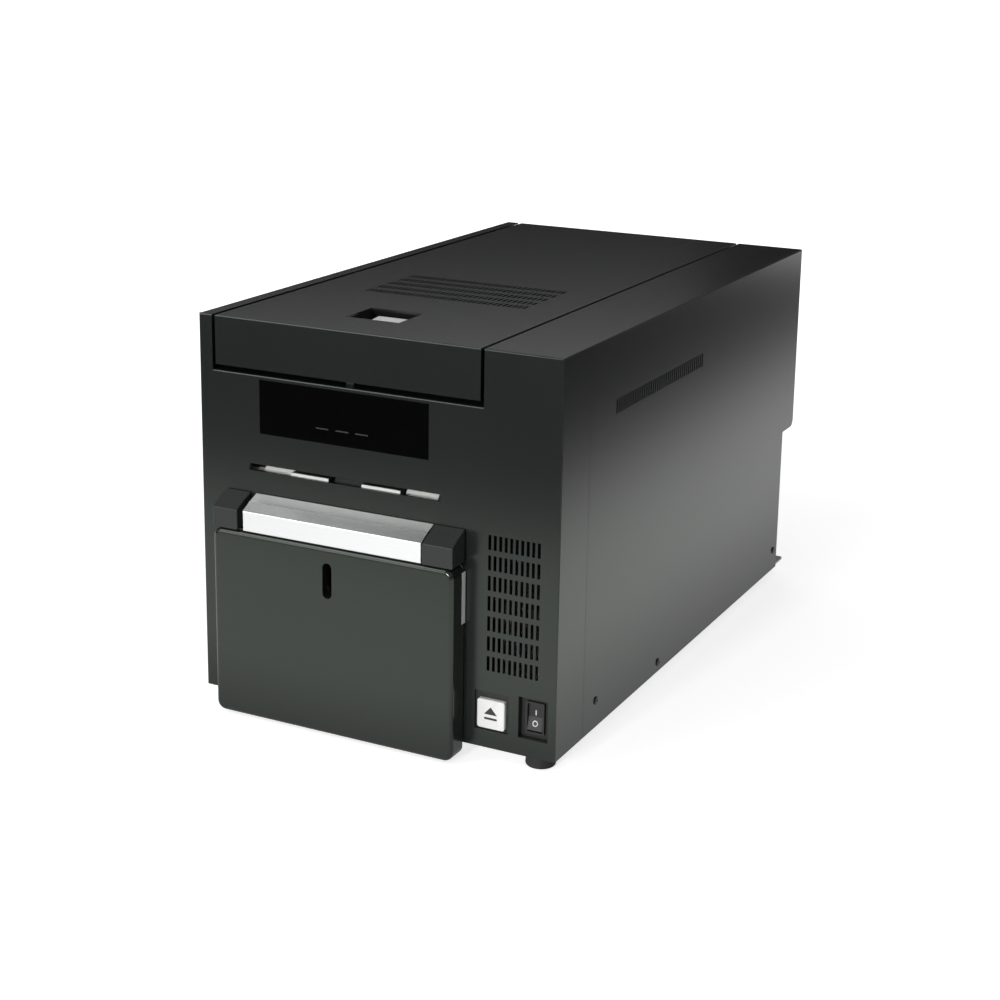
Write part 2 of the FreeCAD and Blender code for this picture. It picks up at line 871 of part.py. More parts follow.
def bushings():
    """Flanged bearing rings, one in each frame for every shaft."""
    rings = []
    for y, z, radius in shaft_places():
        growth = radius - shaft_radius
        for plate_x, inward in ((frame_left_x, 1), (frame_right_x, -1)):
            face = plate_x[1] if inward > 0 else plate_x[0]
            flange_x = sorted((face, face + inward * bushing_flange))
            sleeve = rod_x(plate_x, y, z, bushing_radius + growth)
            flange = rod_x(flange_x, y, z, bushing_flange_radius + growth)
            bore = rod_x(grown(plate_x, overrun), y, z, radius + running_fit)
            rings.append(sleeve.fuse(flange).cut(bore).removeSplitter())
    return Part.makeCompound(rings)


def feet():
    """Four round rubber feet, the rear pair set further in from the sides."""
    pads = []
    corners = ((half_width - foot_front_side_inset, foot_front),
               (half_width - foot_rear_side_inset, foot_rear))
    for side in (-1, 1):
        for x, y in corners:
            pad = Part.makeCone(foot_radius, foot_top_radius, foot_height, V(side * x, y, 0), V(0, 0, 1))
            pads.append(softened(pad, foot_round, [{"z": 0}]))
    return Part.makeCompound(pads)


def cover_screws():
    """Pan-head screws that hold the side covers to the base pan."""
    screws = []
    for side in (-1, 1):
        face = side * half_width
        for y, z in screw_places:
            head = Part.makeCylinder(screw_head_radius, screw_head_height, V(face, y, z), V(side, 0, 0))
            head = softened(head, screw_head_height / 2, [{"x": face + side * screw_head_height}])
            shank = Part.makeCylinder(screw_shank_radius, screw_reach, V(face, y, z), V(-side, 0, 0))
            screws.append(head.fuse(shank).removeSplitter())
    return Part.makeCompound(screws)


def display_window():
    """Dark window that fills its cut-out, with a lip behind the panel."""
    x = grown(around(bay_x, window_width), -window_fit)
    z = grown((window_low, window_low + window_height), -window_fit)
    pane = rounded_y(x, (0, fascia_sheet), z, edge_round / 2)
    lip_y = (fascia_sheet, fascia_sheet + window_lip_sheet)
    lip = block(grown(around(bay_x, window_width), window_lip), lip_y, (window_low - window_lip, z[1]))
    return joined([pane, lip])


def exit_roller_spans():
    """Widths of the centre roller and the two outer rollers on the exit shafts."""
    spans = [around(bay_x, 2 * exit_centre_half)]
    for side in (-1, 1):
        ends = (bay_x + side * (exit_outer_end - exit_outer_width), bay_x + side * exit_outer_end)
        spans.append((min(ends), max(ends)))
    return spans


def exit_guide():
    """Lower guide plate behind the card slot, open round the rollers of the drive shaft."""
    x = around(bay_x, 2 * exit_guide_half)
    top = card_floor - exit_guide_drop
    plate = block(x, (exit_guide_front, exit_guide_rear), (top - exit_guide_sheet, top))
    flange_z = (top - exit_guide_sheet - exit_guide_flange, top - exit_guide_sheet)
    flange_y = (fascia_sheet, exit_guide_front + window_lip_sheet)
    flange = block(x, flange_y, flange_z)
    guide = softened(joined([plate, flange]), edge_round, [{"y": exit_guide_front, "z": top}])
    notch_y = (exit_guide_front - overrun, exit_guide_rear + overrun)
    notch_z = (top - exit_guide_sheet, top + overrun)
    return guide.cut([block(grown(span, exit_notch), notch_y, notch_z) for span in exit_roller_spans()])


def feed_ramp():
    """Sloping plate that leads a picked card from the hopper up to the feed rollers."""
    end_y = feed_y - feed_radius - ramp_end_gap
    end_z = card_floor - exit_guide_drop
    points = [(ramp_start_y, ramp_start_z), (end_y, end_z), (end_y, end_z - ramp_sheet),
              (ramp_start_y, ramp_start_z - ramp_sheet)]
    plate = prism_x(points, (bay_left, bay_right))
    slope = (end_z - ramp_start_z) / (end_y - ramp_start_y)
    ear_rise = ramp_sheet * slope + ramp_sheet
    for inner in (bay_left, bay_right - frame_sheet):
        ear = [(ramp_start_y, ramp_start_z), (end_y, end_z), (end_y, end_z + ear_rise),
               (ramp_start_y, ramp_start_z + ear_rise)]
        plate = plate.fuse(prism_x(ear, (inner, inner + frame_sheet)))
    return plate.removeSplitter()


def stepper_body(x, y, z, size):
    """Square motor body whose axis lies along x."""
    body = block(x, around(y, size), around(z, size))
    corners = [{"y": a, "z": b} for a in around(y, size) for b in around(z, size)]
    edges = [edge for edge in body.Edges if any(lies_at(edge, place) for place in corners)]
    return body.makeChamfer(motor_corner, edges)


def transport_motor():
    """Stepper motor that drives the platen gear."""
    x = (bay_left, bay_left + motor_length)
    body = stepper_body(x, platen_y, motor_z, motor_size)
    boss = rod_x((bay_left - motor_boss_height, bay_left), platen_y, motor_z, motor_boss_radius)
    bore = rod_x((bay_left - overrun, bay_left + motor_length / 2), platen_y, motor_z,
                 motor_shaft_radius + running_fit)
    return joined([body, boss]).cut(bore)


def ribbon_motor():
    """Flat motor on the right frame, in line with the take-up spool."""
    x = (frame_right_x[1], frame_right_x[1] + ribbon_motor_length)
    body = stepper_body(x, takeup_y, spool_z, ribbon_motor_size)
    bore = rod_x((x[0] - overrun, x[1] - ribbon_motor_length / 3), takeup_y, spool_z,
                 spool_shaft_radius + running_fit)
    return body.cut(bore)


def involute(angle):
    """Involute function of a pressure angle."""
    return math.tan(angle) - angle


def gear_blank(teeth, x, y, z, phase, bore):
    """Spur gear about an axis along x, with one tooth centred on the phase angle."""
    pitch = gear_module * teeth / 2
    pressure = math.radians(pressure_degrees)
    base = pitch * math.cos(pressure)
    root = pitch - gear_dedendum_share * gear_module
    tip = pitch + gear_addendum_share * gear_module
    pitch_half = math.pi / (2 * teeth) - gear_backlash / (2 * pitch)

    def half_angle(radius):
        local = math.acos(min(1, base / radius))
        return pitch_half + involute(pressure) - involute(local)

    points = []
    for tooth in range(teeth):
        centre = phase + 2 * math.pi * tooth / teeth
        root_half = half_angle(root)
        tip_half = half_angle(tip)
        for radius, angle in ((root, -root_half), (tip, -tip_half), (tip, tip_half), (root, root_half)):
            points.append((y + radius * math.cos(centre + angle), z + radius * math.sin(centre + angle)))
    return prism_x(points, x).cut(rod_x(grown(x, overrun), y, z, bore))


def platen_gear():
    """Large gear on the platen shaft, a tooth pointing down at the motor pinion."""
    gear = gear_blank(platen_teeth, gear_x, platen_y, platen_z, -math.pi / 2, shaft_radius)
    pitch = gear_module * platen_teeth / 2
    web_outer = rod_x((gear_x[0], gear_x[0] + gear_width / 4), platen_y, platen_z, pitch - gear_bore_web)
    web_inner = rod_x(grown((gear_x[0], gear_x[0] + gear_width / 4), overrun), platen_y, platen_z,
                      shaft_radius + gear_bore_web)
    return gear.cut(web_outer.cut(web_inner))


def motor_pinion():
    """Pinion on the motor shaft, a tooth space pointing up at the platen gear."""
    phase = math.pi / 2 + math.pi / pinion_teeth
    pinion = gear_blank(pinion_teeth, gear_x, platen_y, motor_z, phase, motor_shaft_radius / 2)
    shaft = rod_x((gear_x[0], bay_left + motor_length / 3), platen_y, motor_z, motor_shaft_radius)
    return joined([pinion, shaft])


def pulley_radius(teeth):
    """Working radius of a toothed belt pulley."""
    return belt_pitch * teeth / (2 * math.pi)


def pulley(belt_x, y, z, teeth):
    """Flanged pulley for one belt."""
    radius = pulley_radius(teeth)
    rim = grown(belt_x, belt_side_fit)
    wheel = rod_x(grown(rim, pulley_flange), y, z, radius)
    left = rod_x((rim[0] - pulley_flange, rim[0]), y, z, radius + pulley_flange_rise)
    right = rod_x((rim[1], rim[1] + pulley_flange), y, z, radius + pulley_flange_rise)
    return [wheel, left, right]


def loop_face(x, y_a, z_a, r_a, y_b, z_b, r_b):
    """Face bounded by two arcs and the two outer tangents of two circles."""
    distance = math.hypot(y_b - y_a, z_b - z_a)
    heading = math.atan2(z_b - z_a, y_b - y_a)
    lean = math.acos((r_a - r_b) / distance)

    def at(y, z, radius, angle):
        return V(x, y + radius * math.cos(angle), z + radius * math.sin(angle))

    upper_a = at(y_a, z_a, r_a, heading + lean)
    lower_a = at(y_a, z_a, r_a, heading - lean)
    upper_b = at(y_b, z_b, r_b, heading + lean)
    lower_b = at(y_b, z_b, r_b, heading - lean)
    back = at(y_a, z_a, r_a, heading + math.pi)
    front = at(y_b, z_b, r_b, heading)
    edges = [Part.LineSegment(upper_a, upper_b).toShape(), Part.Arc(upper_b, front, lower_b).toShape(),
             Part.LineSegment(lower_b, lower_a).toShape(), Part.Arc(lower_a, back, upper_a).toShape()]
    return Part.Face(Part.Wire(edges))


def belt(belt_x, start, end):
    """Flat toothed-belt loop round two pulleys, each given as depth, height and teeth."""
    inner = []
    outer = []
    for y, z, teeth in (start, end):
        radius = pulley_radius(teeth) + belt_fit
        inner += [y, z, radius]
        outer += [y, z, radius + belt_thickness]
    width = V(belt_x[1] - belt_x[0], 0, 0)
    return loop_face(belt_x[0], *outer).extrude(width).cut(loop_face(belt_x[0], *inner).extrude(width))


def drive_belts():
    """Belts from the platen to the feed roller and on to the exit roller."""
    exit_end = (exit_y, exit_low_z, exit_pulley_teeth)
    feed_end = (feed_y, feed_low_z, feed_pulley_teeth)
    platen_end = (platen_y, platen_z, platen_pulley_teeth)
    feed_belt = belt(inner_belt_x, feed_end, platen_end)
    exit_belt = belt(outer_belt_x, exit_end, feed_end)
    return Part.makeCompound([feed_belt, exit_belt])


def shaft(y, z, left_end, right_end, radius):
    """Steel shaft between two x positions."""
    return rod_x((left_end, right_end), y, z, radius)


def exit_drive_roller():
    """Lower exit shaft with a centre roller, two outer rollers and its drive pulley."""
    rollers = [rod_x(span, exit_y, exit_low_z, exit_radius) for span in exit_roller_spans()]
    left = outer_belt_x[0] - belt_side_fit - pulley_flange
    axle = shaft(exit_y, exit_low_z, left, idle_right, shaft_radius)
    return joined([axle] + rollers + pulley(outer_belt_x, exit_y, exit_low_z, exit_pulley_teeth))


def exit_pinch_roller():
    """Upper exit shaft with a centre roller and two outer rollers."""
    axle = shaft(exit_y, exit_high_z, idle_left, idle_right, shaft_radius)
    rollers = [rod_x(span, exit_y, exit_high_z, exit_radius) for span in exit_roller_spans()]
    return joined([axle] + rollers)


def feed_drive_roller():
    """Lower feed roller with pulleys for both belts."""
    tyre = rod_x(around(bay_x, 2 * roller_half_length), feed_y, feed_low_z, feed_radius)
    left = outer_belt_x[0] - belt_side_fit - pulley_flange
    axle = shaft(feed_y, feed_low_z, left, idle_right, shaft_radius)
    wheels = pulley(outer_belt_x, feed_y, feed_low_z, feed_pulley_teeth)
    wheels += pulley(inner_belt_x, feed_y, feed_low_z, feed_pulley_teeth)
    return joined([axle, tyre] + wheels)


def feed_pinch_roller():
    """Upper feed roller."""
    tyre = rod_x(around(bay_x, 2 * roller_half_length), feed_y, feed_high_z, pinch_radius)
    return joined([shaft(feed_y, feed_high_z, idle_left, idle_right, shaft_radius), tyre])


def platen_roller():
    """Rubber platen under the print head, with its belt pulley."""
    tyre = rod_x(around(bay_x, 2 * roller_half_length), platen_y, platen_z, platen_radius)
    axle = shaft(platen_y, platen_z, gear_x[0], idle_right, shaft_radius)
    return joined([axle, tyre] + pulley(inner_belt_x, platen_y, platen_z, platen_pulley_teeth))


def pick_roller():
    """Rubber roller that draws the top card from the stack."""
    tyre = rod_x(around(bay_x, 2 * pick_half_length), pick_y, pick_z, pick_radius)
    return joined([shaft(pick_y, pick_z, idle_left, idle_right, shaft_radius), tyre])


def spool(y, film_radius, right_end):
    """Ribbon spool: core and spindle as one solid, wound film as another."""
    film_x = around(bay_x, 2 * film_half_width)
    core = rod_x(grown(film_x, spool_core_reach), y, spool_z, spool_core_radius)
    spindle = shaft(y, spool_z, idle_left, right_end, spool_shaft_radius)
    flanges = []
    for face in (film_x[0] - seam - spool_flange_sheet, film_x[1] + seam):
        span = (face, face + spool_flange_sheet)
        flanges.append(rod_x(span, y, spool_z, film_radius + spool_flange_rise))
    hub = joined([core, spindle] + flanges)
    film = rod_x(film_x, y, spool_z, film_radius).cut(rod_x(film_x, y, spool_z, spool_core_radius))
    return Part.makeCompound([hub, film])


def ribbon_supply():
    """Full ribbon spool behind the print head."""
    return spool(supply_y, supply_radius, idle_right)


def ribbon_takeup():
    """Used-ribbon spool in front of the print head, driven from its right end."""
    return spool(takeup_y, takeup_radius, frame_right_x[1] + ribbon_motor_length / 2)


def tangent_point(centre_y, radius, from_y, from_z, turn):
    """Point where a line from outside touches a spool."""
    reach_y = from_y - centre_y
    reach_z = from_z - spool_z
    distance = math.hypot(reach_y, reach_z)
    angle = math.atan2(reach_z, reach_y) + turn * math.acos(radius / distance)
    return (centre_y + radius * math.cos(angle), spool_z + radius * math.sin(angle))


def strip_outline(points, thickness):
    """Closed outline of a thin strip that follows a bent path, offset to its left."""
    offset = []
    for index, (y, z) in enumerate(points):
        before = points[max(index - 1, 0)]
        after = points[min(index + 1, len(points) - 1)]
        first = math.atan2(z - before[1], y - before[0]) if index > 0 else None
        last = math.atan2(after[1] - z, after[0] - y) if index < len(points) - 1 else None
        first = last if first is None else first
        last = first if last is None else last
        middle = (first + last) / 2
        reach = thickness / math.cos((last - first) / 2)
        offset.append((y - reach * math.sin(middle), z + reach * math.cos(middle)))
    return points + offset[::-1]


def ribbon_film():
    """Ribbon web from the supply spool, under the print head, to the take-up spool."""
    head_front = platen_y - heatsink_depth / 2
    head_rear = platen_y + heatsink_depth / 2
    start = tangent_point(takeup_y, takeup_radius + film_gap, head_front, film_z, 1)
    end = tangent_point(supply_y, supply_radius + film_gap + film_thickness, head_rear, film_z, 1)
    path = [start, (head_front, film_z), (head_rear, film_z), end]
    return prism_x(strip_outline(path, film_thickness), around(bay_x, 2 * film_half_width))


def print_head():
    """Thermal bar under a finned heatsink."""
    bar_x = around(bay_x, 2 * roller_half_length)
    bar = block(bar_x, around(platen_y, head_bar_depth), (head_z, head_z + head_bar_height))
    base_z = (head_z + head_bar_height, head_z + head_bar_height + heatsink_base)
    base = block(bar_x, around(platen_y, heatsink_depth), base_z)
    fins = []
    pitch = 2 * roller_half_length / heatsink_fins
    fin_width = pitch * heatsink_fin_share
    for index in range(heatsink_fins):
        left = bar_x[0] + index * pitch + (pitch - fin_width) / 2
        fin_z = (base_z[1], head_z + head_bar_height + heatsink_height)
        fins.append(block((left, left + fin_width), around(platen_y, heatsink_depth), fin_z))
    return joined([bar, base] + fins)


def head_arm():
    """Swinging carrier that holds the print head over the platen."""
    top = head_z + head_bar_height + heatsink_height
    cap_y = around(platen_y, heatsink_depth)
    x = grown(around(bay_x, 2 * roller_half_length), head_arm_sheet)
    pieces = [block(x, cap_y, (top, top + head_arm_sheet))]
    for side_x in ((x[0], x[0] + head_arm_sheet), (x[1] - head_arm_sheet, x[1])):
        points = [(cap_y[0], head_z + head_bar_height), (cap_y[1], head_z + head_bar_height),
                  (head_pivot_y, head_pivot_z - head_arm_hub), (head_pivot_y, head_pivot_z + head_arm_hub),
                  (cap_y[0], top + head_arm_sheet)]
        pieces.append(prism_x(points, side_x))
        pieces.append(rod_x(side_x, head_pivot_y, head_pivot_z, head_arm_hub))
    bore = rod_x(grown(x, overrun), head_pivot_y, head_pivot_z, brace_radius + running_fit)
    return joined(pieces).cut(bore)


def lid_cover():
    """Top cover: plate with front, side and rear flanges, latch recess and vents."""
    x = (lid_left, lid_right)
    plate = block(x, (0, body_depth), (lid_under, top_z))
    side_z = (lid_under - lid_side_flange + lid_sheet, top_z - lid_sheet / 2)
    flange_y = (0, rear_high)
    pieces = [plate,
              block(x, (0, lid_sheet), (top_z - lid_skirt, top_z)),
              block((x[0], x[0] + lid_sheet), flange_y, side_z),
              block((x[1] - lid_sheet, x[1]), flange_y, side_z),
              block(x, (rear_high - lid_sheet, rear_high), (lid_rear_low, top_z))]
    shell = joined(pieces)
    top_edges = [{"y": 0, "z": top_z}, {"x": x[0], "z": top_z}, {"x": x[1], "z": top_z}]
    shell = softened(shell, edge_round, top_edges)
    through = (lid_under - overrun, top_z + overrun)
    cutters = [block(around(recess_x, recess_width), (recess_front, recess_front + recess_depth), through)]
    for column in range(top_vent_columns):
        for row in range(top_vent_rows):
            left = top_vent_x + column * vent_pitch
            low = top_vent_y + row * top_vent_row_pitch
            cutters.append(block((left, left + vent_width), (low, low + vent_length), through))
    return shell.cut(cutters)


def latch_pocket():
    """Finger recess under the lid: a cup with a ramp at its left and a way for the latch arm."""
    inner_x = around(recess_x, recess_width)
    inner_y = (recess_front, recess_front + recess_depth)
    floor = lid_under - pocket_depth
    outer = block(grown(inner_x, pocket_wall), grown(inner_y, pocket_wall), (floor - pocket_wall, lid_under))
    cup = outer.cut(block(inner_x, inner_y, (floor, lid_under + overrun)))
    ramp_points = [(inner_x[0], floor), (inner_x[0] + ramp_width, floor), (inner_x[0], lid_under)]
    ramp = prism_y(ramp_points, inner_y)
    arm_half = latch_arm_width / 2 + latch_side_gap
    way_y = (inner_y[0] - pocket_wall - overrun, latch_pivot_y + latch_hub_radius)
    way_z = (floor - pocket_wall - overrun, latch_pivot_z + latch_hub_radius)
    arm_way = block(around(bay_x, 2 * arm_half), way_y, way_z)
    pin_way = rod_x(grown(inner_x, pocket_wall + overrun), latch_pivot_y, latch_pivot_z,
                    latch_pin_radius + running_fit)
    return joined([cup, ramp]).cut([arm_way, pin_way])


def latch_arm():
    """Steel latch lever with its pivot pin and the hook that catches under the front ledge."""
    arm_x = around(bay_x, latch_arm_width)
    under = ledge_z - cover_sheet - hook_gap
    stem_rear = hook_stem_y + hook_stem_width
    points = [(hook_stem_y - hook_nose, under), (hook_stem_y, under),
              (hook_stem_y, ledge_z + hook_stem_width),
              (latch_pivot_y - latch_hub_radius / 2, latch_pivot_z + latch_hub_radius / 2),
              (latch_pivot_y + latch_hub_radius / 2, latch_pivot_z - latch_hub_radius / 2),
              (stem_rear, ledge_z), (stem_rear, under - hook_nose_height),
              (hook_stem_y, under - hook_nose_height)]
    arm = prism_x(points, arm_x)
    hub = rod_x(arm_x, latch_pivot_y, latch_pivot_z, latch_hub_radius)
    pin_x = grown(around(recess_x, recess_width), pocket_wall)
    pin = rod_x(pin_x, latch_pivot_y, latch_pivot_z, latch_pin_radius)
    return joined([arm, hub, pin])


def latch_paddle():
    """Pale finger plate clamped round the latch pin."""
    inner_x = around(recess_x, recess_width)
    x = (inner_x[0] + ramp_width + latch_side_gap, inner_x[1] - latch_side_gap)
    rear = recess_front + recess_depth - paddle_rear_gap
    low = latch_pivot_z
    points = [(latch_pivot_y, low), (rear, low + paddle_rise), (rear, low + paddle_rise + paddle_sheet),
              (latch_pivot_y, low + paddle_sheet)]
    plate = prism_x(points, x)
    hub = rod_x(x, latch_pivot_y, latch_pivot_z, latch_pin_radius + paddle_sheet)
    bore = rod_x(grown(x, overrun), latch_pivot_y, latch_pivot_z, latch_pin_radius)
    arm_way = block(around(bay_x, latch_arm_width + 2 * seam),
                    (latch_pivot_y - latch_hub_radius - overrun, latch_pivot_y + latch_hub_radius + seam),
                    (low - overrun, low + latch_hub_radius + paddle_sheet))
    return joined([plate, hub]).cut([bore, arm_way])


def hinge_spans(centre):
    """Spans of a hinge: whole leaf, middle knuckle and the two outer knuckles."""
    whole = around(centre, hinge_width)
    middle = around(centre, hinge_middle)
    left = (whole[0], middle[0] - hinge_gap)
    right = (middle[1] + hinge_gap, whole[1])
    return whole, middle, left, right


def knuckle(x):
    """Outside of one hinge knuckle."""
    return rod_x(x, hinge_y, hinge_z, hinge_knuckle_radius)


def hinge_bore(x):
    """Hole for the hinge pin."""
    return rod_x(grown(x, overrun), hinge_y, hinge_z, hinge_pin_radius + hinge_pin_fit)


def hinge_leaves_rear():
    """Hinge leaves on the rear panel, each with two outer knuckles."""
    leaves = []
    leaf_y = (rear_high, rear_high + hinge_leaf_sheet)
    clear = hinge_knuckle_radius + hinge_gap
    for offset in (-hinge_offset, hinge_offset):
        whole, middle, left, right = hinge_spans(bay_x + offset)
        pieces = [block(whole, leaf_y, (hinge_z - hinge_leaf_height, hinge_z - clear))]
        for span in (left, right):
            pieces.append(block(span, leaf_y, (hinge_z - hinge_leaf_height, hinge_z)))
            pieces.append(knuckle(span))
        leaves.append(joined(pieces).cut(hinge_bore(whole)))
    return Part.makeCompound(leaves)


def hinge_leaves_lid():
    """Hinge leaves on the lid's rear skirt, each with a middle knuckle."""
    leaves = []
    leaf_y = (rear_high, rear_high + hinge_leaf_sheet)
    low = lid_rear_low + hinge_gap
    for offset in (-hinge_offset, hinge_offset):
        whole, middle, left, right = hinge_spans(bay_x + offset)
        web = block(middle, (rear_high + hinge_gap, rear_high + hinge_leaf_sheet), (hinge_z, low))
        leaf = block(whole, leaf_y, (low, hinge_z + hinge_leaf_height + hinge_below_skirt))
        leaves.append(joined([web, leaf, knuckle(middle)]).cut(hinge_bore(whole)))
    return Part.makeCompound(leaves)


def hinge_pins():
    """Straight pins through the lid hinges."""
    pins = []
    for offset in (-hinge_offset, hinge_offset):
        whole = grown(around(bay_x + offset, hinge_width), hinge_pin_overhang)
        pins.append(rod_x(whole, hinge_y, hinge_z, hinge_pin_radius))
    return Part.makeCompound(pins)


def level_slot(y):
    """Cutter for the upright slot that shows how full the hopper is."""
    z = (level_slot_low, level_slot_low + level_slot_height)
    return obround_y(around(door_x + level_slot_offset, level_slot_width), y, z)


def door_ear_z():
    """Height span of the two ears of the back plate."""
    return (door_top - door_ear_drop - door_ear_height, door_top - door_ear_drop)


def door_ear_spans(margin):
    """Widths of the two ears of the back plate, widened inwards by a margin."""
    edges = around(door_x, door_width)
    inset = door_ear_thickness - door_ear_proud + margin
    return [(edges[0] - door_ear_proud, edges[0] + inset), (edges[1] - inset, edges[1] + door_ear_proud)]


def hopper_door():
    """Hollow front of the hopper drawer, with a low seat for the handle on top."""
    x = around(door_x, door_width)
    shell = rounded_y(x, (door_front, door_back), (door_bottom, door_top), door_corner)
    shell = softened(shell, door_edge_round, [{"y": door_front}])
    inner_z = (door_bottom + door_wall, door_top - door_wall)
    hollow = rounded_y(grown(x, -door_wall), (door_front + door_wall, door_back + overrun), inner_z,
                       door_corner - door_wall)
    tube_x = grown(around(door_x + level_slot_offset, level_slot_width), door_wall)
    tube_z = grown((level_slot_low, level_slot_low + level_slot_height), door_wall)
    tube = obround_y(tube_x, (door_front + door_wall / 2, door_back), tube_z)
    seat = block(grown(x, -handle_seat_inset), (door_front + handle_seat_inset, door_back),
                 (door_top - door_wall, door_top + handle_seat_height))
    slot = level_slot((door_front - overrun, door_back + overrun))
    notches = [block(ear_x, (door_back - door_ear_depth - running_fit, door_back + overrun),
                     grown(door_ear_z(), running_fit)) for ear_x in door_ear_spans(running_fit)]
    return joined([shell.cut(hollow), tube, seat]).cut([slot] + notches)


def handle_profile():
    """Outline of the handle: upright face and a top that slopes back in two facets."""
    low = door_top + handle_seat_height
    back = -door_gap
    face_top = low + handle_face_height
    top = low + handle_height
    crease_y = door_front + (back - door_front) * handle_crease_share
    crease_z = face_top + (top - face_top) * handle_crease_share + handle_crease_lift
    return [(door_front, low), (door_front, face_top), (crease_y, crease_z), (back, top), (back, low)]


def handle_bar():
    """Bright metal bar of the handle."""
    bar = prism_x(handle_profile(), handle_bar_x)
    low = door_top + handle_seat_height
    return softened(bar, handle_round, [{"y": door_front, "z": low + handle_face_height},
                                        {"y": door_front, "z": low},
                                        {"x": handle_bar_x[0], "y": door_front},
                                        {"x": handle_bar_x[1], "y": door_front}])


def handle_caps():
    """Dark end caps on both sides of the bar, with the same profile."""
    caps = []
    for x in (left_cap_x, right_cap_x):
        cap = prism_x(handle_profile(), x)
        low = door_top + handle_seat_height
        edges = [{"y": door_front, "z": low + handle_face_height}, {"x": x[0]}, {"x": x[1]}]
        caps.append(softened(cap, handle_round, edges))
    return Part.makeCompound(caps)


def door_back_plate():
    """Bright metal plate behind the door with an ear folded round each side."""
    x = grown(around(door_x, door_width), -door_plate_inset)
    z = (door_bottom + door_wall, door_top)
    plate = rounded_y(x, (door_back, -door_gap), z, door_corner)
    ear_y = (door_back - door_ear_depth, -door_gap)
    ears = [block(ear_x, ear_y, door_ear_z()) for ear_x in door_ear_spans(0)]
    return joined([plate] + ears).cut(level_slot((door_back - overrun, overrun)))


def hopper_tray():
    """Open-topped card tray with a slot in its rear wall for the platform."""
    x = around(bay_x, tray_width)
    y = (-door_gap, tray_rear)
    outer = block(x, y, (tray_low, tray_top))
    inner = block(grown(x, -tray_wall), grown(y, -tray_wall), (tray_low + tray_floor, tray_top + overrun))
    way = block(around(bay_x, 2 * (tongue_half_width + tongue_fit)),
                (y[1] - tray_wall - overrun, y[1] + overrun), (tray_low + tray_floor, tray_top + overrun))
    tray = softened(outer.cut(inner), edge_round, [{"x": a, "y": y[1]} for a in x])
    return tray.cut([way, level_slot((-door_gap - overrun, -door_gap + tray_wall + overrun))])


def slide_places():
    """Frame face, tray face and inward direction of each drawer slide."""
    return ((bay_left, bay_x - tray_width / 2, 1), (bay_right, bay_x + tray_width / 2, -1))


def drawer_rails():
    """Fixed C-shaped rails on the inner faces of the frames."""
    rails = []
    for frame_face, tray_face, inward in slide_places():
        mouth = tray_face - inward * (slide_flange + slide_fit)
        x = sorted((frame_face, mouth))
        y = (slide_front, slide_front + slide_length)
        outer = block(x, y, around(slide_z, slide_height))
        hollow_x = sorted((frame_face + inward * slide_sheet, mouth + inward * overrun))
        hollow_z = around(slide_z, slide_height - 2 * slide_sheet)
        rails.append(outer.cut(block(hollow_x, grown(y, overrun), hollow_z)))
    return Part.makeCompound(rails)


def drawer_slides():
    """Moving slide bars on both sides of the tray."""
    bars = []
    for frame_face, tray_face, inward in slide_places():
        flange_out = tray_face - inward * slide_flange
        bar_out = frame_face + inward * (slide_sheet + slide_fit)
        y = (slide_front - door_gap - overrun, slide_front + slide_length - slide_front)
        flange = block(sorted((tray_face, flange_out)), y, around(slide_z, slide_flange_height))
        bar_half = slide_height - 2 * (slide_sheet + slide_fit)
        bar = block(sorted((flange_out, bar_out)), y, around(slide_z, bar_half))
        bars.append(joined([flange, bar]))
    return Part.makeCompound(bars)


def lift_guides():
    """Brackets, guide rods and fixed lift screw behind the tray."""
    bracket_x = around(bay_x, 2 * carriage_half_width)
    reach = screw_depth + lift_bracket_lap
    lower = block(bracket_x, (tray_rear - lift_bracket_lap, reach), (tray_low - lift_bracket_sheet, tray_low))
    upper_z = (tray_top - lift_bracket_sheet, tray_top)
    upper = block(bracket_x, (tray_rear, reach), upper_z)
    span = (tray_low, upper_z[0])
    posts = [rod_z(bay_x + side * lift_rod_offset, rod_depth, span, lift_rod_radius) for side in (-1, 1)]
    posts.append(rod_z(bay_x, screw_depth, span, lift_screw_radius))
    tongue_way = block(around(bay_x, 2 * (tongue_half_width + tongue_fit)),
                       (tray_rear - overrun, tray_rear + carriage_gap / 2), grown(upper_z, overrun))
    return Part.makeCompound([lower, upper.cut(tongue_way)] + posts)


def card_platform():
    """Plate that carries the card stack, with its tongue and guided carriage."""
    z = (carriage_low, carriage_low + platform_sheet)
    inner_x = grown(around(bay_x, tray_width), -tray_wall - platform_fit)
    back = tray_rear + carriage_gap
    inner_y = (-door_gap + tray_wall + platform_fit, tray_rear - tray_wall - platform_fit)
    plate = block(inner_x, inner_y, z)
    tongue = block(around(bay_x, 2 * tongue_half_width), (inner_y[1], back), z)
    carriage = block(around(bay_x, 2 * carriage_half_width), (back, back + carriage_depth), z)
    seat = block(around(bay_x, lift_motor_size), (back, back + lift_motor_size), z)
    cutters = [rod_z(bay_x + side * lift_rod_offset, rod_depth, grown(z, overrun), lift_rod_radius + lift_fit)
               for side in (-1, 1)]
    cutters.append(rod_z(bay_x, screw_depth, grown(z, overrun), lift_screw_radius + lift_fit))
    return joined([plate, tongue, carriage, seat]).cut(cutters)


def lift_motor():
    """Flat hollow motor under the carriage that climbs the lift screw."""
    x = around(bay_x, lift_motor_size)
    y = around(screw_depth, lift_motor_size)
    z = (carriage_low - lift_motor_height, carriage_low)
    body = block(x, y, z)
    corners = [{"x": a, "y": b} for a in x for b in y]
    edges = [edge for edge in body.Edges if any(lies_at(edge, place) for place in corners)]
    body = body.makeChamfer(motor_corner, edges)
    return body.cut(rod_z(bay_x, screw_depth, grown(z, overrun), lift_screw_radius + lift_fit))


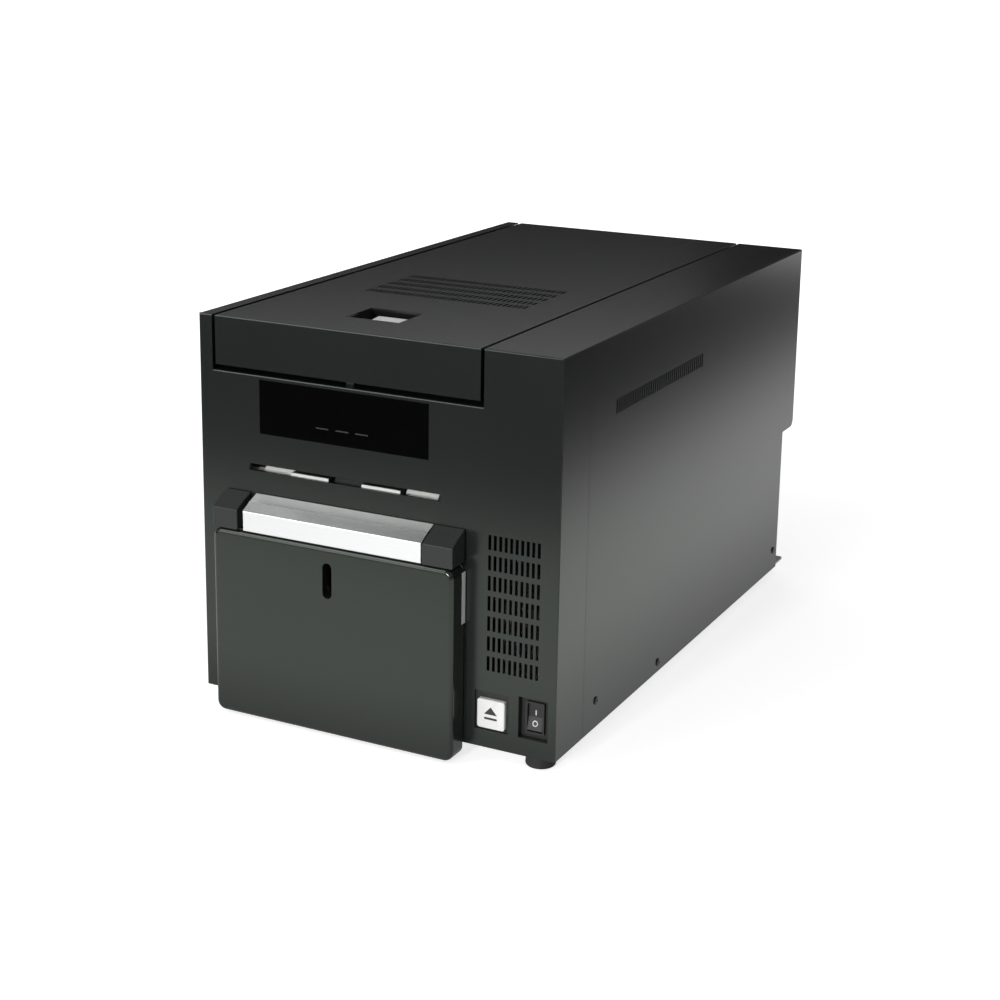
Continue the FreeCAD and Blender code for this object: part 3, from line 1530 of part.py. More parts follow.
def button_housing():
    """Sleeve behind the front panel that guides the eject button."""
    opening = button_size + 2 * button_fit
    plate_x = grown(around(button_x, button_pocket_width), button_housing_lip)
    plate_z = grown(button_pocket_z, button_housing_lip)
    plate_y = (fascia_sheet, fascia_sheet + button_housing_wall)
    plate = block(plate_x, plate_y, plate_z)
    inner = opening + 2 * button_rim + 2 * button_fit
    sleeve_size = inner + 2 * button_housing_wall
    sleeve_y = (fascia_sheet, fascia_sheet + button_housing_depth)
    sleeve = block(around(button_x, sleeve_size), sleeve_y, around(button_z, sleeve_size))
    mouth = block(around(button_x, opening), grown(plate_y, overrun), around(button_z, opening))
    hollow_y = (plate_y[1], sleeve_y[1] - button_housing_wall)
    hollow = block(around(button_x, inner), hollow_y, around(button_z, inner))
    return joined([plate, sleeve]).cut([mouth, hollow])


def push_button():
    """Square eject button with a retaining rim."""
    y = (-button_proud, button_length - button_proud)
    cap = rounded_y(around(button_x, button_size), y, around(button_z, button_size), button_round)
    cap = softened(cap, button_rim, [{"y": y[0]}])
    rim_y = (button_rim_depth, button_rim_depth + button_rim_sheet)
    rim_size = button_size + 2 * button_rim
    rim = block(around(button_x, rim_size), rim_y, around(button_z, rim_size))
    return joined([cap, rim])


def switch_housing():
    """Power switch in a shallow pocket: mounting lip, pocket walls and a raised bezel."""
    pocket_x = around(switch_x, switch_pocket_width)
    pocket_z = around(switch_z, switch_pocket_height)
    lip_y = (fascia_sheet, fascia_sheet + button_housing_wall)
    lip = block(grown(pocket_x, switch_lip), lip_y, grown(pocket_z, switch_lip))
    cup_y = (fascia_sheet, switch_pocket_depth + switch_wall)
    cup = block(grown(pocket_x, switch_wall), cup_y, grown(pocket_z, switch_wall))
    tray = joined([lip, cup]).cut(block(pocket_x, (-overrun, switch_pocket_depth), pocket_z))
    bezel_x = around(switch_x, switch_bezel_width)
    bezel_z = around(switch_z, switch_bezel_height)
    body = rounded_y(bezel_x, (switch_front, switch_front + switch_body_depth), bezel_z, edge_round)
    hollow = block(grown(bezel_x, -switch_wall), (-overrun, rocker_pivot_depth + 2 * rocker_back_radius),
                   grown(bezel_z, -switch_wall))
    pin_way = rod_x(grown(bezel_x, overrun), rocker_pivot_depth, switch_z, rocker_pin_radius + running_fit)
    return joined([tray, body]).cut([hollow, pin_way])


def rocker():
    """Rocker of the power switch, with its pivot pins, tipped to one side."""
    half = switch_bezel_width / 2 - switch_wall - rocker_fit
    ends = [(-rocker_end_rise, -rocker_half_length), (-rocker_mid_rise, 0),
            (-rocker_end_rise, rocker_half_length), (-rocker_end_rise / 2, rocker_half_length),
            (rocker_back_radius, rocker_back_radius), (rocker_back_radius, -rocker_back_radius),
            (-rocker_end_rise / 2, -rocker_half_length)]
    points = [(rocker_pivot_depth + y, switch_z + z) for y, z in ends]
    body = prism_x(points, around(switch_x, 2 * half))
    pin = rod_x(around(switch_x, 2 * (half + rocker_fit + switch_wall / 2)), rocker_pivot_depth, switch_z,
                rocker_pin_radius)
    key = joined([body, pin])
    key.rotate(V(0, rocker_pivot_depth, switch_z), V(1, 0, 0), rocker_tilt)
    return key


def power_supply():
    """Enclosed power supply standing on the base pan."""
    x = (partition_x[1] + supply_box_gap, inner_half - supply_box_gap)
    y = (supply_box_front, supply_box_front + supply_box_length)
    z = (pan_top, pan_top + supply_box_height)
    case = block(x, y, z)
    slots = []
    pitch = supply_box_length / front_vent_columns
    for index in range(front_vent_columns - 1):
        slot_y = around(y[0] + pitch * (index + 1), 2 * vent_width)
        slots.append(block(grown(x, -vent_length), slot_y, (z[1] - cover_sheet, z[1] + overrun)))
    return case.cut(slots)


def main_board():
    """Controller board on stand-offs beside the partition."""
    face = partition_x[1]
    board_x = (face + board_gap, face + board_gap + board_sheet)
    points = [(board_front, board_low), (board_rear, board_low), (board_rear, board_top),
              (board_step, board_top), (board_step, board_high), (board_front, board_high)]
    pieces = [prism_x(points, board_x)]
    for y in (board_front + standoff_inset, board_step - standoff_inset):
        for z in (board_low + standoff_inset, board_high - standoff_inset):
            pieces.append(rod_x((face, board_x[0]), y, z, standoff_radius))
    middle_y = (board_front + board_step) / 2
    middle_z = (board_low + board_high) / 2
    face_x = board_x[1]
    chip_x = (face_x, face_x + chip_height)
    pieces.append(block(chip_x, around(middle_y, chip_size), around(middle_z, chip_size)))
    for side in (-1, 1):
        y = middle_y + side * chip_size * 2
        pieces.append(rod_x((face_x, face_x + capacitor_height), y, middle_z, capacitor_radius))
        pieces.append(block((face_x, face_x + connector_height), around(y, chip_size),
                            (board_low + standoff_inset, board_low + standoff_inset + connector_height)))
    return joined(pieces)


def data_ports():
    """USB and network sockets on the main board's rear edge."""
    ports = []
    for x, y, z in port_spans():
        shell = block(x, y, z)
        hollow_y = (y[0] + port_tongue, y[1] + overrun)
        hollow = block(grown(x, -2 * socket_wall), hollow_y, grown(z, -2 * socket_wall))
        tongue = block(around((x[0] + x[1]) / 2, port_tongue), (y[0], y[1] - port_tongue_recess),
                       around((z[0] + z[1]) / 2, 2 * port_tongue))
        ports.append(joined([shell.cut(hollow), tongue]))
    return Part.makeCompound(ports)


def power_inlet():
    """Three-pin mains inlet with a screw flange on the rear panel."""
    flange = rounded_y(around(inlet_x, inlet_flange_width), (rear_low, rear_low + inlet_flange_sheet),
                       around(inlet_z, inlet_flange_height), tab_round)
    body_y = (rear_low - inlet_depth, rear_low + inlet_flange_sheet)
    body = block(around(inlet_x, inlet_body_width), body_y, around(inlet_z, inlet_body_height))
    hollow_y = (body_y[0] + inlet_floor, body_y[1] + overrun)
    hollow = rounded_y(around(inlet_x, inlet_body_width - 2 * inlet_wall), hollow_y,
                       around(inlet_z, inlet_body_height - 2 * inlet_wall), tab_round)
    shell = joined([flange, body]).cut(hollow)
    pins = []
    pin_y = (body_y[0] + inlet_floor / 2, body_y[0] + inlet_floor + inlet_pin_length)
    for offset in (-1, 0, 1):
        pin_x = around(inlet_x + offset * inlet_pin_spacing, inlet_pin_width)
        pin_z = around(inlet_z + (1 - 2 * abs(offset)) * inlet_pin_width, inlet_pin_height)
        pins.append(block(pin_x, pin_y, pin_z))
    heads = []
    head_y = (body_y[1], body_y[1] + screw_head_height)
    for side in (-1, 1):
        x = inlet_x + side * (inlet_flange_width + inlet_body_width) / 4
        heads.append(rod_y(x, (rear_low - screw_reach, head_y[1]), inlet_z, screw_shank_radius))
        heads.append(rod_y(x, head_y, inlet_z, screw_head_radius))
    return joined([shell] + pins + heads)


def fan_frame():
    """Square fan housing with a spider that carries the rotor's pin."""
    y = (rear_high - cover_sheet - fan_depth, rear_high - cover_sheet)
    case = block(around(fan_x, fan_size), y, around(fan_z, fan_size))
    corners = [{"x": a, "z": b} for a in around(fan_x, fan_size) for b in around(fan_z, fan_size)]
    case = softened(case, tab_round, corners)
    case = case.cut(rod_y(fan_x, grown(y, overrun), fan_z, fan_bore_radius))
    spider_y = (y[0], y[0] + fan_spider)
    arms = [block(around(fan_x, fan_size - fan_spider), spider_y, around(fan_z, fan_spider_arm)),
            block(around(fan_x, fan_spider_arm), spider_y, around(fan_z, fan_size - fan_spider)),
            rod_y(fan_x, spider_y, fan_z, fan_hub_radius)]
    pin = rod_y(fan_x, (y[0], y[1] - fan_spider), fan_z, fan_shaft_radius)
    return joined([case, pin] + arms)


def fan_rotor():
    """Fan rotor with pitched blades round a hub."""
    low = rear_high - cover_sheet - fan_depth + fan_spider + seam
    high = rear_high - cover_sheet - seam
    hub = rod_y(fan_x, (low, high), fan_z, fan_hub_radius)
    blade_y = grown((low, high), -seam)
    middle = (low + high) / 2
    pieces = [hub]
    for index in range(fan_blades):
        blade = block(around(fan_x, fan_blade_sheet), grown(blade_y, seam), (fan_z, fan_z + fan_blade_radius))
        blade.rotate(V(fan_x, middle, fan_z), V(0, 0, 1), fan_blade_twist)
        blade.rotate(V(fan_x, middle, fan_z), V(0, 1, 0), 360 * index / fan_blades)
        pieces.append(blade)
    envelope = rod_y(fan_x, (low, high), fan_z, fan_blade_radius)
    bore = rod_y(fan_x, grown((low, high), overrun), fan_z, fan_shaft_radius + running_fit)
    return joined(pieces).common(envelope).cut(bore)


nodes = [base_pan, front_fascia, right_cover, left_cover, rear_panel, partition_wall, frame_left, frame_right,
         cross_braces, bushings, feet, cover_screws, display_window, exit_guide, feed_ramp, transport_motor,
         ribbon_motor, platen_gear, motor_pinion, drive_belts, exit_drive_roller, exit_pinch_roller,
         feed_drive_roller, feed_pinch_roller, platen_roller, pick_roller, ribbon_supply, ribbon_takeup,
         ribbon_film, print_head, head_arm, lid_cover, latch_pocket, latch_arm, latch_paddle,
         hinge_leaves_rear, hinge_leaves_lid, hinge_pins, hopper_door, handle_bar, handle_caps,
         door_back_plate, hopper_tray, drawer_rails, drawer_slides, lift_guides, card_platform, lift_motor,
         button_housing, push_button, switch_housing, rocker, power_supply, main_board, data_ports,
         power_inlet, fan_frame, fan_rotor]

os.makedirs("parts", exist_ok=True)
for make in nodes:
    save(make.__name__, make())
print(len(nodes), "nodes written")
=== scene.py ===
import bmesh
import bpy
import math
from mathutils import Euler, Matrix, Vector
from mathutils.bvhtree import BVHTree


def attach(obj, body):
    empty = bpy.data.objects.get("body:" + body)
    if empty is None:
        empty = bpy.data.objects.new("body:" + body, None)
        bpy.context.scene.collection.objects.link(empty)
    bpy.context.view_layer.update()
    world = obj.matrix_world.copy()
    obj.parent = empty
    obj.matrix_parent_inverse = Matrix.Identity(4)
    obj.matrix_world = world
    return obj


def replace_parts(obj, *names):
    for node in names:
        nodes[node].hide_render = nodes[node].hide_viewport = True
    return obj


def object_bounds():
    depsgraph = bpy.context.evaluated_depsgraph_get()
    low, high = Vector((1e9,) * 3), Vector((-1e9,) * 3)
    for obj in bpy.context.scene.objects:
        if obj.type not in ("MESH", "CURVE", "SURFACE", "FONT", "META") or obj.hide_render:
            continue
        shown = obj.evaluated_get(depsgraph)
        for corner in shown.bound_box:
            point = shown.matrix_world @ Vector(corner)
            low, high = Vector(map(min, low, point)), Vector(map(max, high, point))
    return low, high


# A large-format ID card printer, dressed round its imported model. The file holds the finishes
# of every node, the marks and fasteners that are too small for the model, a pale floor, soft
# studio light and a camera at the photograph's angle. Lengths are in metres.

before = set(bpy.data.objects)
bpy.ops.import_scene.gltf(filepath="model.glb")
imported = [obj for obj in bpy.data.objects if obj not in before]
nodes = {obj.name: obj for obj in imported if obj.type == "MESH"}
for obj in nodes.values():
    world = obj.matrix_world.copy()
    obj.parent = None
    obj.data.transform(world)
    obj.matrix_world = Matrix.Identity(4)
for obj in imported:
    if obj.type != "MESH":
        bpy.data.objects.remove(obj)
cad_low, cad_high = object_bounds()

# Camera, with its lens in millimetres
camera_place = Vector((0.6343, -1.3068, 0.5652))
camera_turn_degrees = (75.711, -0.884, 26.849)
camera_lens = 67.71
camera_shift = -0.1

# Floor. Its pale part ends at these distances from the middle, but it has no side edges in front
# of the object and far behind it.
floor_half = 30.0
lit_floor_right = 0.42
lit_floor_left = 1.60
lit_floor_front = 0.70
lit_floor_behind = 1.70
lit_floor_rear = 3.20
lit_floor_soft = 0.14
floor_colour = (0.82, 0.82, 0.82, 1)
dark_floor_colour = (0.02, 0.02, 0.02, 1)

# Glow that whitens the floor for the camera, less round the object so that its shadow shows
glow_near = 0.66
glow_far = 1.0
glow_radius = 0.55
glow_soft = 0.9

# Light that reflections find in the floor, with a painted shadow as a dip at the object's foot
reflected_pale = 1.0
reflected_dark = 0.03
reflected_foot_shadow = 0.5
foot_shadow_reach = 0.10

# Sky, as grey levels at heights of a direction. Reflections see a front and a rear half, which
# blend over a range of the direction's Y.
white = (1, 1, 1, 1)
sky_light = ((0.12, 0.05), (0.5, 0.45))
sky_reflected_rear = ((0.20, 0.0), (0.30, 0.10), (0.60, 0.30), (0.86, 0.30))
sky_reflected_front = ((0.10, 0.10), (0.30, 0.26), (0.86, 0.30))
sky_turn = (-0.35, 0.05)

# Colours, linear
charcoal = (0.0118, 0.0133, 0.0126)
silver = (0.88, 0.89, 0.89)
zinc_grey = (0.56, 0.57, 0.57)
moulding_white = (0.82, 0.82, 0.80)
moulding_black = (0.010, 0.010, 0.010)
roller_grey = (0.035, 0.036, 0.038)
rubber_black = (0.018, 0.018, 0.019)
board_green = (0.010, 0.075, 0.036, 1)
board_green_light = (0.013, 0.095, 0.045, 1)
track_green = (0.030, 0.160, 0.080, 1)

# Paint
paint_index = 1.6
paint_reflection = (0.89, 1.0, 0.90, 1)
paint_roughness = 0.22

# Handle: its upright face is blasted, and its slope is brushed finely and less so above a middle
blasted_roughness = 0.52
brushed_roughness = 0.215
brushed_roughness_rise = 0.075
handle_face_top = 0.1572
handle_slope_middle = 0.1625
handle_crease = 0.0008

# Card exit: the rollers are white beyond this distance from the guide's middle, and the guide's
# lip is white beyond this one from its rear
exit_rollers_white = 0.0442
exit_guide_white = 0.0221
two_tone_edge = 0.0004

# Depths of the finishes' relief
paint_grain = 0.000010
paint_peel = 0.000012
moulding_grain = 0.00002
brush_streaks = 0.000006
handle_streaks = 0.000004
zinc_spangle = 0.00004
gloss_waves = 0.000008
rubber_dust = 0.00003
two_tone_dust = 0.00001
board_tracks = 0.00003

# Part of a noise's full range in which most of it lies
noise_first = 0.3
noise_last = 0.7


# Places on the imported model. A look at a face starts this far outside, from the front or the rear.

front, rear = -1, 1
outside = 1.0


def box_of(name):
    """Lowest and highest corner of a node."""
    spans = list(zip(*nodes[name].bound_box))
    return Vector([min(span) for span in spans]), Vector([max(span) for span in spans])


def middle_of(name):
    """Middle of a node's box."""
    low, high = box_of(name)
    return (low + high) / 2


def surface_at(name, x, z, side):
    """Place and outward direction of a node's front or rear face at a point across and up."""
    mesh = nodes[name].data
    faces = BVHTree.FromPolygons([vertex.co for vertex in mesh.vertices],
                                 [polygon.vertices for polygon in mesh.polygons])
    return faces.ray_cast(Vector((x, side * outside, z)), Vector((0, -side, 0)))[:2]


# Helpers for node trees

def fill(tree, node, inputs):
    """Inputs of a node, by name or number, each linked from a socket or set to a constant."""
    for name, source in inputs.items():
        if isinstance(source, bpy.types.NodeSocket):
            tree.links.new(source, node.inputs[name])
        else:
            node.inputs[name].default_value = source


def add(tree, kind, inputs=None, **properties):
    """Node of a kind with its properties and inputs."""
    made = tree.nodes.new(kind)
    for name, value in properties.items():
        setattr(made, name, value)
    fill(tree, made, inputs or {})
    return made


def combined(tree, operation, *values):
    """Result of an operation on one or two values."""
    return add(tree, "ShaderNodeMath", dict(enumerate(values)), operation=operation).outputs[0]


def ranged(tree, factor, low, high, first=noise_first, last=noise_last):
    """Factor carried from one range to another and held at its ends."""
    span = {"Value": factor, "From Min": first, "From Max": last, "To Min": low, "To Max": high}
    return add(tree, "ShaderNodeMapRange", span).outputs["Result"]


def about(tree, factor, middle, spread):
    """Value that varies either way of a middle with a noise factor."""
    return ranged(tree, factor, middle - spread, middle + spread)


def noise(tree, place, scale, detail, rates=(1, 1, 1)):
    """Noise factor. A rate above 1 makes it change faster along that axis."""
    mapping = add(tree, "ShaderNodeMapping", {"Vector": place, "Scale": rates})
    settings = {"Vector": mapping.outputs["Vector"], "Scale": scale, "Detail": detail}
    return add(tree, "ShaderNodeTexNoise", settings).outputs["Fac"]


def tinted(tree, factor, colour, spread):
    """Colour that varies by a share either way with a noise factor."""
    ramp = add(tree, "ShaderNodeValToRGB", {"Fac": factor})
    ends = ((noise_first, 1 - spread), (noise_last, 1 + spread))
    for element, (position, share) in zip(ramp.color_ramp.elements, ends):
        element.position = position
        element.color = [min(1, part * share) for part in colour] + [1]
    return ramp.outputs["Color"]


def bumped(tree, *heights):
    """Bump normal from height factors, each with its depth."""
    below = {}
    for factor, depth in heights:
        bump = add(tree, "ShaderNodeBump", {"Height": factor, "Strength": 1.0, "Distance": depth, **below})
        below = {"Normal": bump.outputs["Normal"]}
    return below["Normal"]


def mixed_colour(tree, factor, first, second):
    """Colour that goes from the first to the second with a factor."""
    ends = {"Factor": factor, "A": first, "B": second}
    return add(tree, "ShaderNodeMix", ends, data_type="RGBA").outputs["Result"]


def mixed_shader(tree, factor, first, second):
    """Shader that goes from the first to the second with a factor."""
    return add(tree, "ShaderNodeMixShader", {0: factor, 1: first, 2: second}).outputs[0]


def parts_of(tree, vector):
    """Outputs X, Y and Z of a vector."""
    return add(tree, "ShaderNodeSeparateXYZ", {"Vector": vector}).outputs


# Finishes

def grey(level):
    """Grey colour of a level."""
    return (level, level, level)


def started(name):
    """New node material, its tree, its shader and the place of a surface point in its own piece."""
    material = bpy.data.materials.new(name)
    material.use_nodes = True
    tree = material.node_tree
    place = add(tree, "ShaderNodeTexCoord").outputs["Object"]
    return material, tree, tree.nodes["Principled BSDF"], place


def powder_coat(name, colour):
    """Satin powder coat: fine grain, faint orange peel and a little tone variation."""
    material, tree, shader, place = started(name)
    cloud = noise(tree, place, scale=14, detail=4)
    grain = noise(tree, place, scale=2600, detail=2)
    peel = noise(tree, place, scale=420, detail=2)
    fill(tree, shader, {
        "Base Color": tinted(tree, cloud, colour, spread=0.05),
        "Roughness": about(tree, grain, paint_roughness, spread=0.03),
        "Normal": bumped(tree, (grain, paint_grain), (peel, paint_peel)),
        "Specular Tint": paint_reflection,
        "IOR": paint_index,
    })
    return material


def moulded(name, colour, roughness, reflection=0.5):
    """Moulded plastic with a fine spark-eroded grain."""
    material, tree, shader, place = started(name)
    cloud = noise(tree, place, scale=30, detail=3)
    grain = noise(tree, place, scale=1800, detail=3)
    fill(tree, shader, {
        "Base Color": tinted(tree, cloud, colour, spread=0.06),
        "Roughness": about(tree, grain, roughness, spread=0.05),
        "Normal": bumped(tree, (grain, moulding_grain)),
        "Specular IOR Level": reflection,
    })
    return material


def brushed(name, colour, roughness, rates=(1, 12, 12), metallic=1.0):
    """Brushed metal: long fine streaks along one axis."""
    material, tree, shader, place = started(name)
    streaks = noise(tree, place, scale=300, detail=4, rates=rates)
    cloud = noise(tree, place, scale=9, detail=2)
    fill(tree, shader, {
        "Base Color": tinted(tree, cloud, colour, spread=0.03),
        "Roughness": about(tree, streaks, roughness, spread=0.08),
        "Normal": bumped(tree, (streaks, brush_streaks)),
        "Metallic": metallic,
    })
    return material


def handle_metal(name, colour):
    """Bright metal with a blasted upright face and a finely brushed sloping top."""
    material, tree, shader, place = started(name)
    streaks = noise(tree, place, scale=90, detail=4, rates=(1, 30, 30))
    height = parts_of(tree, place)["Z"]
    lower = ranged(tree, height, blasted_roughness, brushed_roughness,
                   handle_face_top, handle_face_top + handle_crease)
    upper = ranged(tree, height, 0, brushed_roughness_rise,
                   handle_slope_middle, handle_slope_middle + handle_crease)
    fill(tree, shader, {
        "Base Color": tinted(tree, streaks, colour, spread=0.02),
        "Roughness": combined(tree, "ADD", lower, upper),
        "Normal": bumped(tree, (streaks, handle_streaks)),
        "Metallic": 1.0,
    })
    return material


def zinc_plate(name, colour):
    """Zinc-plated sheet with a faint spangle."""
    material, tree, shader, place = started(name)
    spangle = add(tree, "ShaderNodeTexVoronoi", {"Vector": place, "Scale": 110.0}).outputs["Distance"]
    cloud = noise(tree, place, scale=18, detail=4)
    fill(tree, shader, {
        "Base Color": tinted(tree, cloud, colour, spread=0.08),
        "Roughness": ranged(tree, spangle, low=0.30, high=0.42, first=0, last=1),
        "Normal": bumped(tree, (cloud, zinc_spangle)),
        "Metallic": 1.0,
    })
    return material


def gloss(name, colour, roughness):
    """Gloss plastic or lacquer with faint waviness."""
    material, tree, shader, place = started(name)
    wave = noise(tree, place, scale=60, detail=2)
    fill(tree, shader, {
        "Base Color": tinted(tree, wave, colour, spread=0.04),
        "Roughness": about(tree, wave, roughness, spread=0.2 * roughness),
        "Normal": bumped(tree, (wave, gloss_waves)),
    })
    return material


def rubber(name, colour):
    """Matt rubber with a dusty grain."""
    material, tree, shader, place = started(name)
    dust = noise(tree, place, scale=700, detail=4)
    fill(tree, shader, {
        "Base Color": tinted(tree, dust, colour, spread=0.25),
        "Roughness": about(tree, dust, middle=0.75, spread=0.07),
        "Normal": bumped(tree, (dust, rubber_dust)),
    })
    return material


def two_tone(name, axis, middle, start, dark):
    """Dark piece that turns to white moulding further than a start from a middle along one axis."""
    material, tree, shader, place = started(name)
    dust = noise(tree, place, scale=700, detail=4)
    from_middle = combined(tree, "SUBTRACT", parts_of(tree, place)[axis], middle)
    outer = ranged(tree, combined(tree, "ABSOLUTE", from_middle), 0, 1, start, start + two_tone_edge)
    dark_side = tinted(tree, dust, dark, spread=0.25)
    white_side = tinted(tree, dust, moulding_white, spread=0.02)
    fill(tree, shader, {
        "Base Color": mixed_colour(tree, outer, dark_side, white_side),
        "Roughness": ranged(tree, outer, low=0.75, high=0.35, first=0, last=1),
        "Normal": bumped(tree, (dust, two_tone_dust)),
    })
    return material


def circuit_board(name):
    """Green solder mask with copper tracks showing as a lighter relief."""
    material, tree, shader, place = started(name)
    upright = add(tree, "ShaderNodeMapping", {"Vector": place, "Rotation": (0, math.radians(90), 0)})
    tracks = add(tree, "ShaderNodeTexBrick", {
        "Vector": upright.outputs["Vector"], "Scale": 90.0, "Mortar Size": 0.03,
        "Color1": board_green, "Color2": board_green_light, "Mortar": track_green,
    })
    fill(tree, shader, {
        "Base Color": tracks.outputs["Color"],
        "Roughness": 0.35,
        "Normal": bumped(tree, (tracks.outputs["Fac"], board_tracks)),
    })
    return material


paint = powder_coat("charcoal_powder_coat", charcoal)
zinc = zinc_plate("zinc_plated_sheet", zinc_grey)
ground_steel = brushed("ground_steel", (0.62, 0.62, 0.63), 0.22)
# Black steel of the screws. The latch arm has it too, as painted shade in the gap under the lid, where its
# steel would glint
black_steel_and_shade = moulded("black_steel_and_painted_shade", grey(0.016), 0.35)
bright = handle_metal("bright_aluminium", silver)
satin = brushed("satin_aluminium", silver, 0.60, metallic=0.3)
extruded = brushed("extruded_aluminium", (0.80, 0.81, 0.82), 0.36, rates=(12, 1, 12))
black_plastic = moulded("black_moulding", grey(0.014), 0.5)
dark_plastic = moulded("dark_moulding", (0.020, 0.022, 0.021), 0.4)
# The latch pocket is black moulding made darker than the other black plastic: painted shade inside the recess
# on top of its black colour
pocket_black_and_shade = moulded("black_pocket_moulding_and_shade", grey(0.004), 0.6, reflection=0.1)
window_gloss = gloss("black_window", grey(0.0010), 0.08)
white_plastic = gloss("white_moulding", moulding_white, 0.3)
nylon = moulded("natural_nylon", (0.70, 0.68, 0.60), 0.4)
black_rubber = rubber("black_rubber", rubber_black)
grey_rubber = rubber("roller_rubber", roller_grey)
exit_rollers = two_tone("exit_roller_set", "X", middle_of("exit_guide").x, exit_rollers_white, roller_grey)
exit_lip = two_tone("exit_guide_lip", "Y", box_of("exit_guide")[1].y, exit_guide_white, moulding_black)
board = circuit_board("green_board")
film = gloss("ribbon_film", (0.020, 0.012, 0.045), 0.18)
grey_print = moulded("grey_print", grey(0.014), 0.6)
black_print = moulded("black_print", (0.030, 0.030, 0.031), 0.6)
white_print = moulded("white_print", (0.62, 0.62, 0.61), 0.6)

finished = (
    (paint, "front_fascia", "right_cover", "left_cover", "rear_panel", "lid_cover", "hopper_door"),
    (zinc, "base_pan", "partition_wall", "frame_left", "frame_right", "feed_ramp", "head_arm", "drawer_rails",
     "power_supply"),
    (ground_steel, "cross_braces", "motor_pinion", "feed_pinch_roller", "hinge_leaves_rear",
     "hinge_leaves_lid", "hinge_pins", "drawer_slides", "lift_guides", "data_ports"),
    # The latch arm is made black as painted shade in the gap under the lid
    (black_steel_and_shade, "latch_arm"),
    (bright, "handle_bar"),
    (satin, "door_back_plate"),
    (extruded, "print_head"),
    (black_plastic, "cover_screws", "transport_motor", "ribbon_motor", "hopper_tray", "card_platform",
     "lift_motor", "button_housing", "switch_housing", "rocker", "power_inlet", "fan_frame", "fan_rotor"),
    (dark_plastic, "handle_caps"),
    (pocket_black_and_shade, "latch_pocket"),
    (window_gloss, "display_window"),
    (white_plastic, "exit_pinch_roller", "latch_paddle", "push_button"),
    (nylon, "bushings", "platen_gear"),
    (black_rubber, "feet", "drive_belts"),
    (grey_rubber, "feed_drive_roller", "platen_roller", "pick_roller"),
    (exit_rollers, "exit_drive_roller"),
    (exit_lip, "exit_guide"),
    (board, "main_board"),
    (film, "ribbon_supply", "ribbon_takeup", "ribbon_film"),
)
for material, *names in finished:
    for name in names:
        nodes[name].data.materials.clear()
        nodes[name].data.materials.append(material)


# Small pieces that ride on the model

# How far a printed mark stands out of its surface and reaches into it
print_proud = 0.00006
print_sunk = 0.00030

# Pan-head screw: radius and depth from the shank's end to the head's top, and its cross recess
screw_profile_shares = ((0.5, 3.2), (0.5, 0.0), (1.0, 0.0), (1.0, -0.45), (0.93, -0.72), (0.78, -0.92),
                        (0.62, -1.0))
cross_arm_share = 0.46
cross_half_share = 0.12
cross_taper_share = 0.8
cross_floor_share = 0.35

# Turn of a screw's recess in radians for each metre along the object and up it
screw_turn_y = 40
screw_turn_z = 70


def piece(name, bm, material, body):
    """Object from a finished mesh, held by one body."""
    bmesh.ops.recalc_face_normals(bm, faces=bm.faces)
    mesh = bpy.data.meshes.new(name)
    bm.to_mesh(mesh)
    bm.free()
    mesh.materials.append(material)
    made = bpy.data.objects.new(name, mesh)
    bpy.context.scene.collection.objects.link(made)
    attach(made, body)
    return made


def facing(place, outwards):
    """Matrix whose local -Y points outwards, with local Z as near to up as it can be."""
    inwards = -Vector(outwards).normalized()
    across = inwards.cross(Vector((0, 0, 1))).normalized()
    turn = Matrix((across, inwards, across.cross(inwards))).transposed().to_4x4()
    return Matrix.Translation(place) @ turn


def loop_of(bm, points, placed, depth):
    """Vertices of a flat outline at a depth, moved by a matrix."""
    return [bm.verts.new(placed @ Vector((x, depth, z))) for x, z in points]


def walled(bm, first, second):
    """Side faces between two loops of the same length."""
    for index in range(len(first)):
        bm.faces.new((first[index - 1], first[index], second[index], second[index - 1]))


def circle(radius, steps):
    """Points round a circle."""
    turns = [math.tau * step / steps for step in range(steps)]
    return [(radius * math.cos(turn), radius * math.sin(turn)) for turn in turns]


def bar_outline(length, width, steps=12):
    """Outline of a bar across with round ends."""
    radius = width / 2
    points = []
    for end in (1, -1):
        for step in range(steps + 1):
            turn = math.pi * (step / steps - 0.5)
            points.append((end * (length / 2 - radius + radius * math.cos(turn)),
                           end * radius * math.sin(turn)))
    return points


def cross_outline(arm, half):
    """Outline of a cross with four arms."""
    corner = [(half, half), (half, arm), (-half, arm)]
    points = []
    for _ in range(4):
        points += corner
        corner = [(-z, x) for x, z in corner]
    return points


def printed(bm, outline, placed):
    """Thin filled mark with its back sunk in."""
    face = loop_of(bm, outline, placed, -print_proud)
    back = loop_of(bm, outline, placed, print_sunk)
    walled(bm, face, back)
    bm.faces.new(face)
    bm.faces.new(back)


def printed_ring(bm, radius, width, placed, steps=28):
    """Thin ring-shaped mark with its back sunk in."""
    inner = radius - width
    corners = ((radius, print_sunk), (radius, -print_proud), (inner, -print_proud), (inner, print_sunk))
    loops = [loop_of(bm, circle(reach, steps), placed, depth) for reach, depth in corners]
    for first, second in zip(loops, loops[1:] + loops[:1]):
        walled(bm, first, second)


def cross_screw(bm, placed, radius, height, steps=24):
    """Pan-head screw with a cross recess and a short shank. Local -Y points out of the surface."""
    rings = [loop_of(bm, circle(radius * reach, steps), placed, height * depth)
             for reach, depth in screw_profile_shares]
    for first, second in zip(rings, rings[1:]):
        walled(bm, first, second)
    bm.faces.new(rings[0])
    cross = cross_outline(cross_arm_share * radius, cross_half_share * radius)
    rim = loop_of(bm, cross, placed, -height)
    tapered = [(x * cross_taper_share, z * cross_taper_share) for x, z in cross]
    floor = loop_of(bm, tapered, placed, -cross_floor_share * height)
    walled(bm, rim, floor)
    bm.faces.new(floor)
    edges = [bm.edges.get((loop[index - 1], loop[index]))
             for loop in (rings[-1], rim) for index in range(len(loop))]
    bmesh.ops.triangle_fill(bm, edges=edges, use_beauty=True)


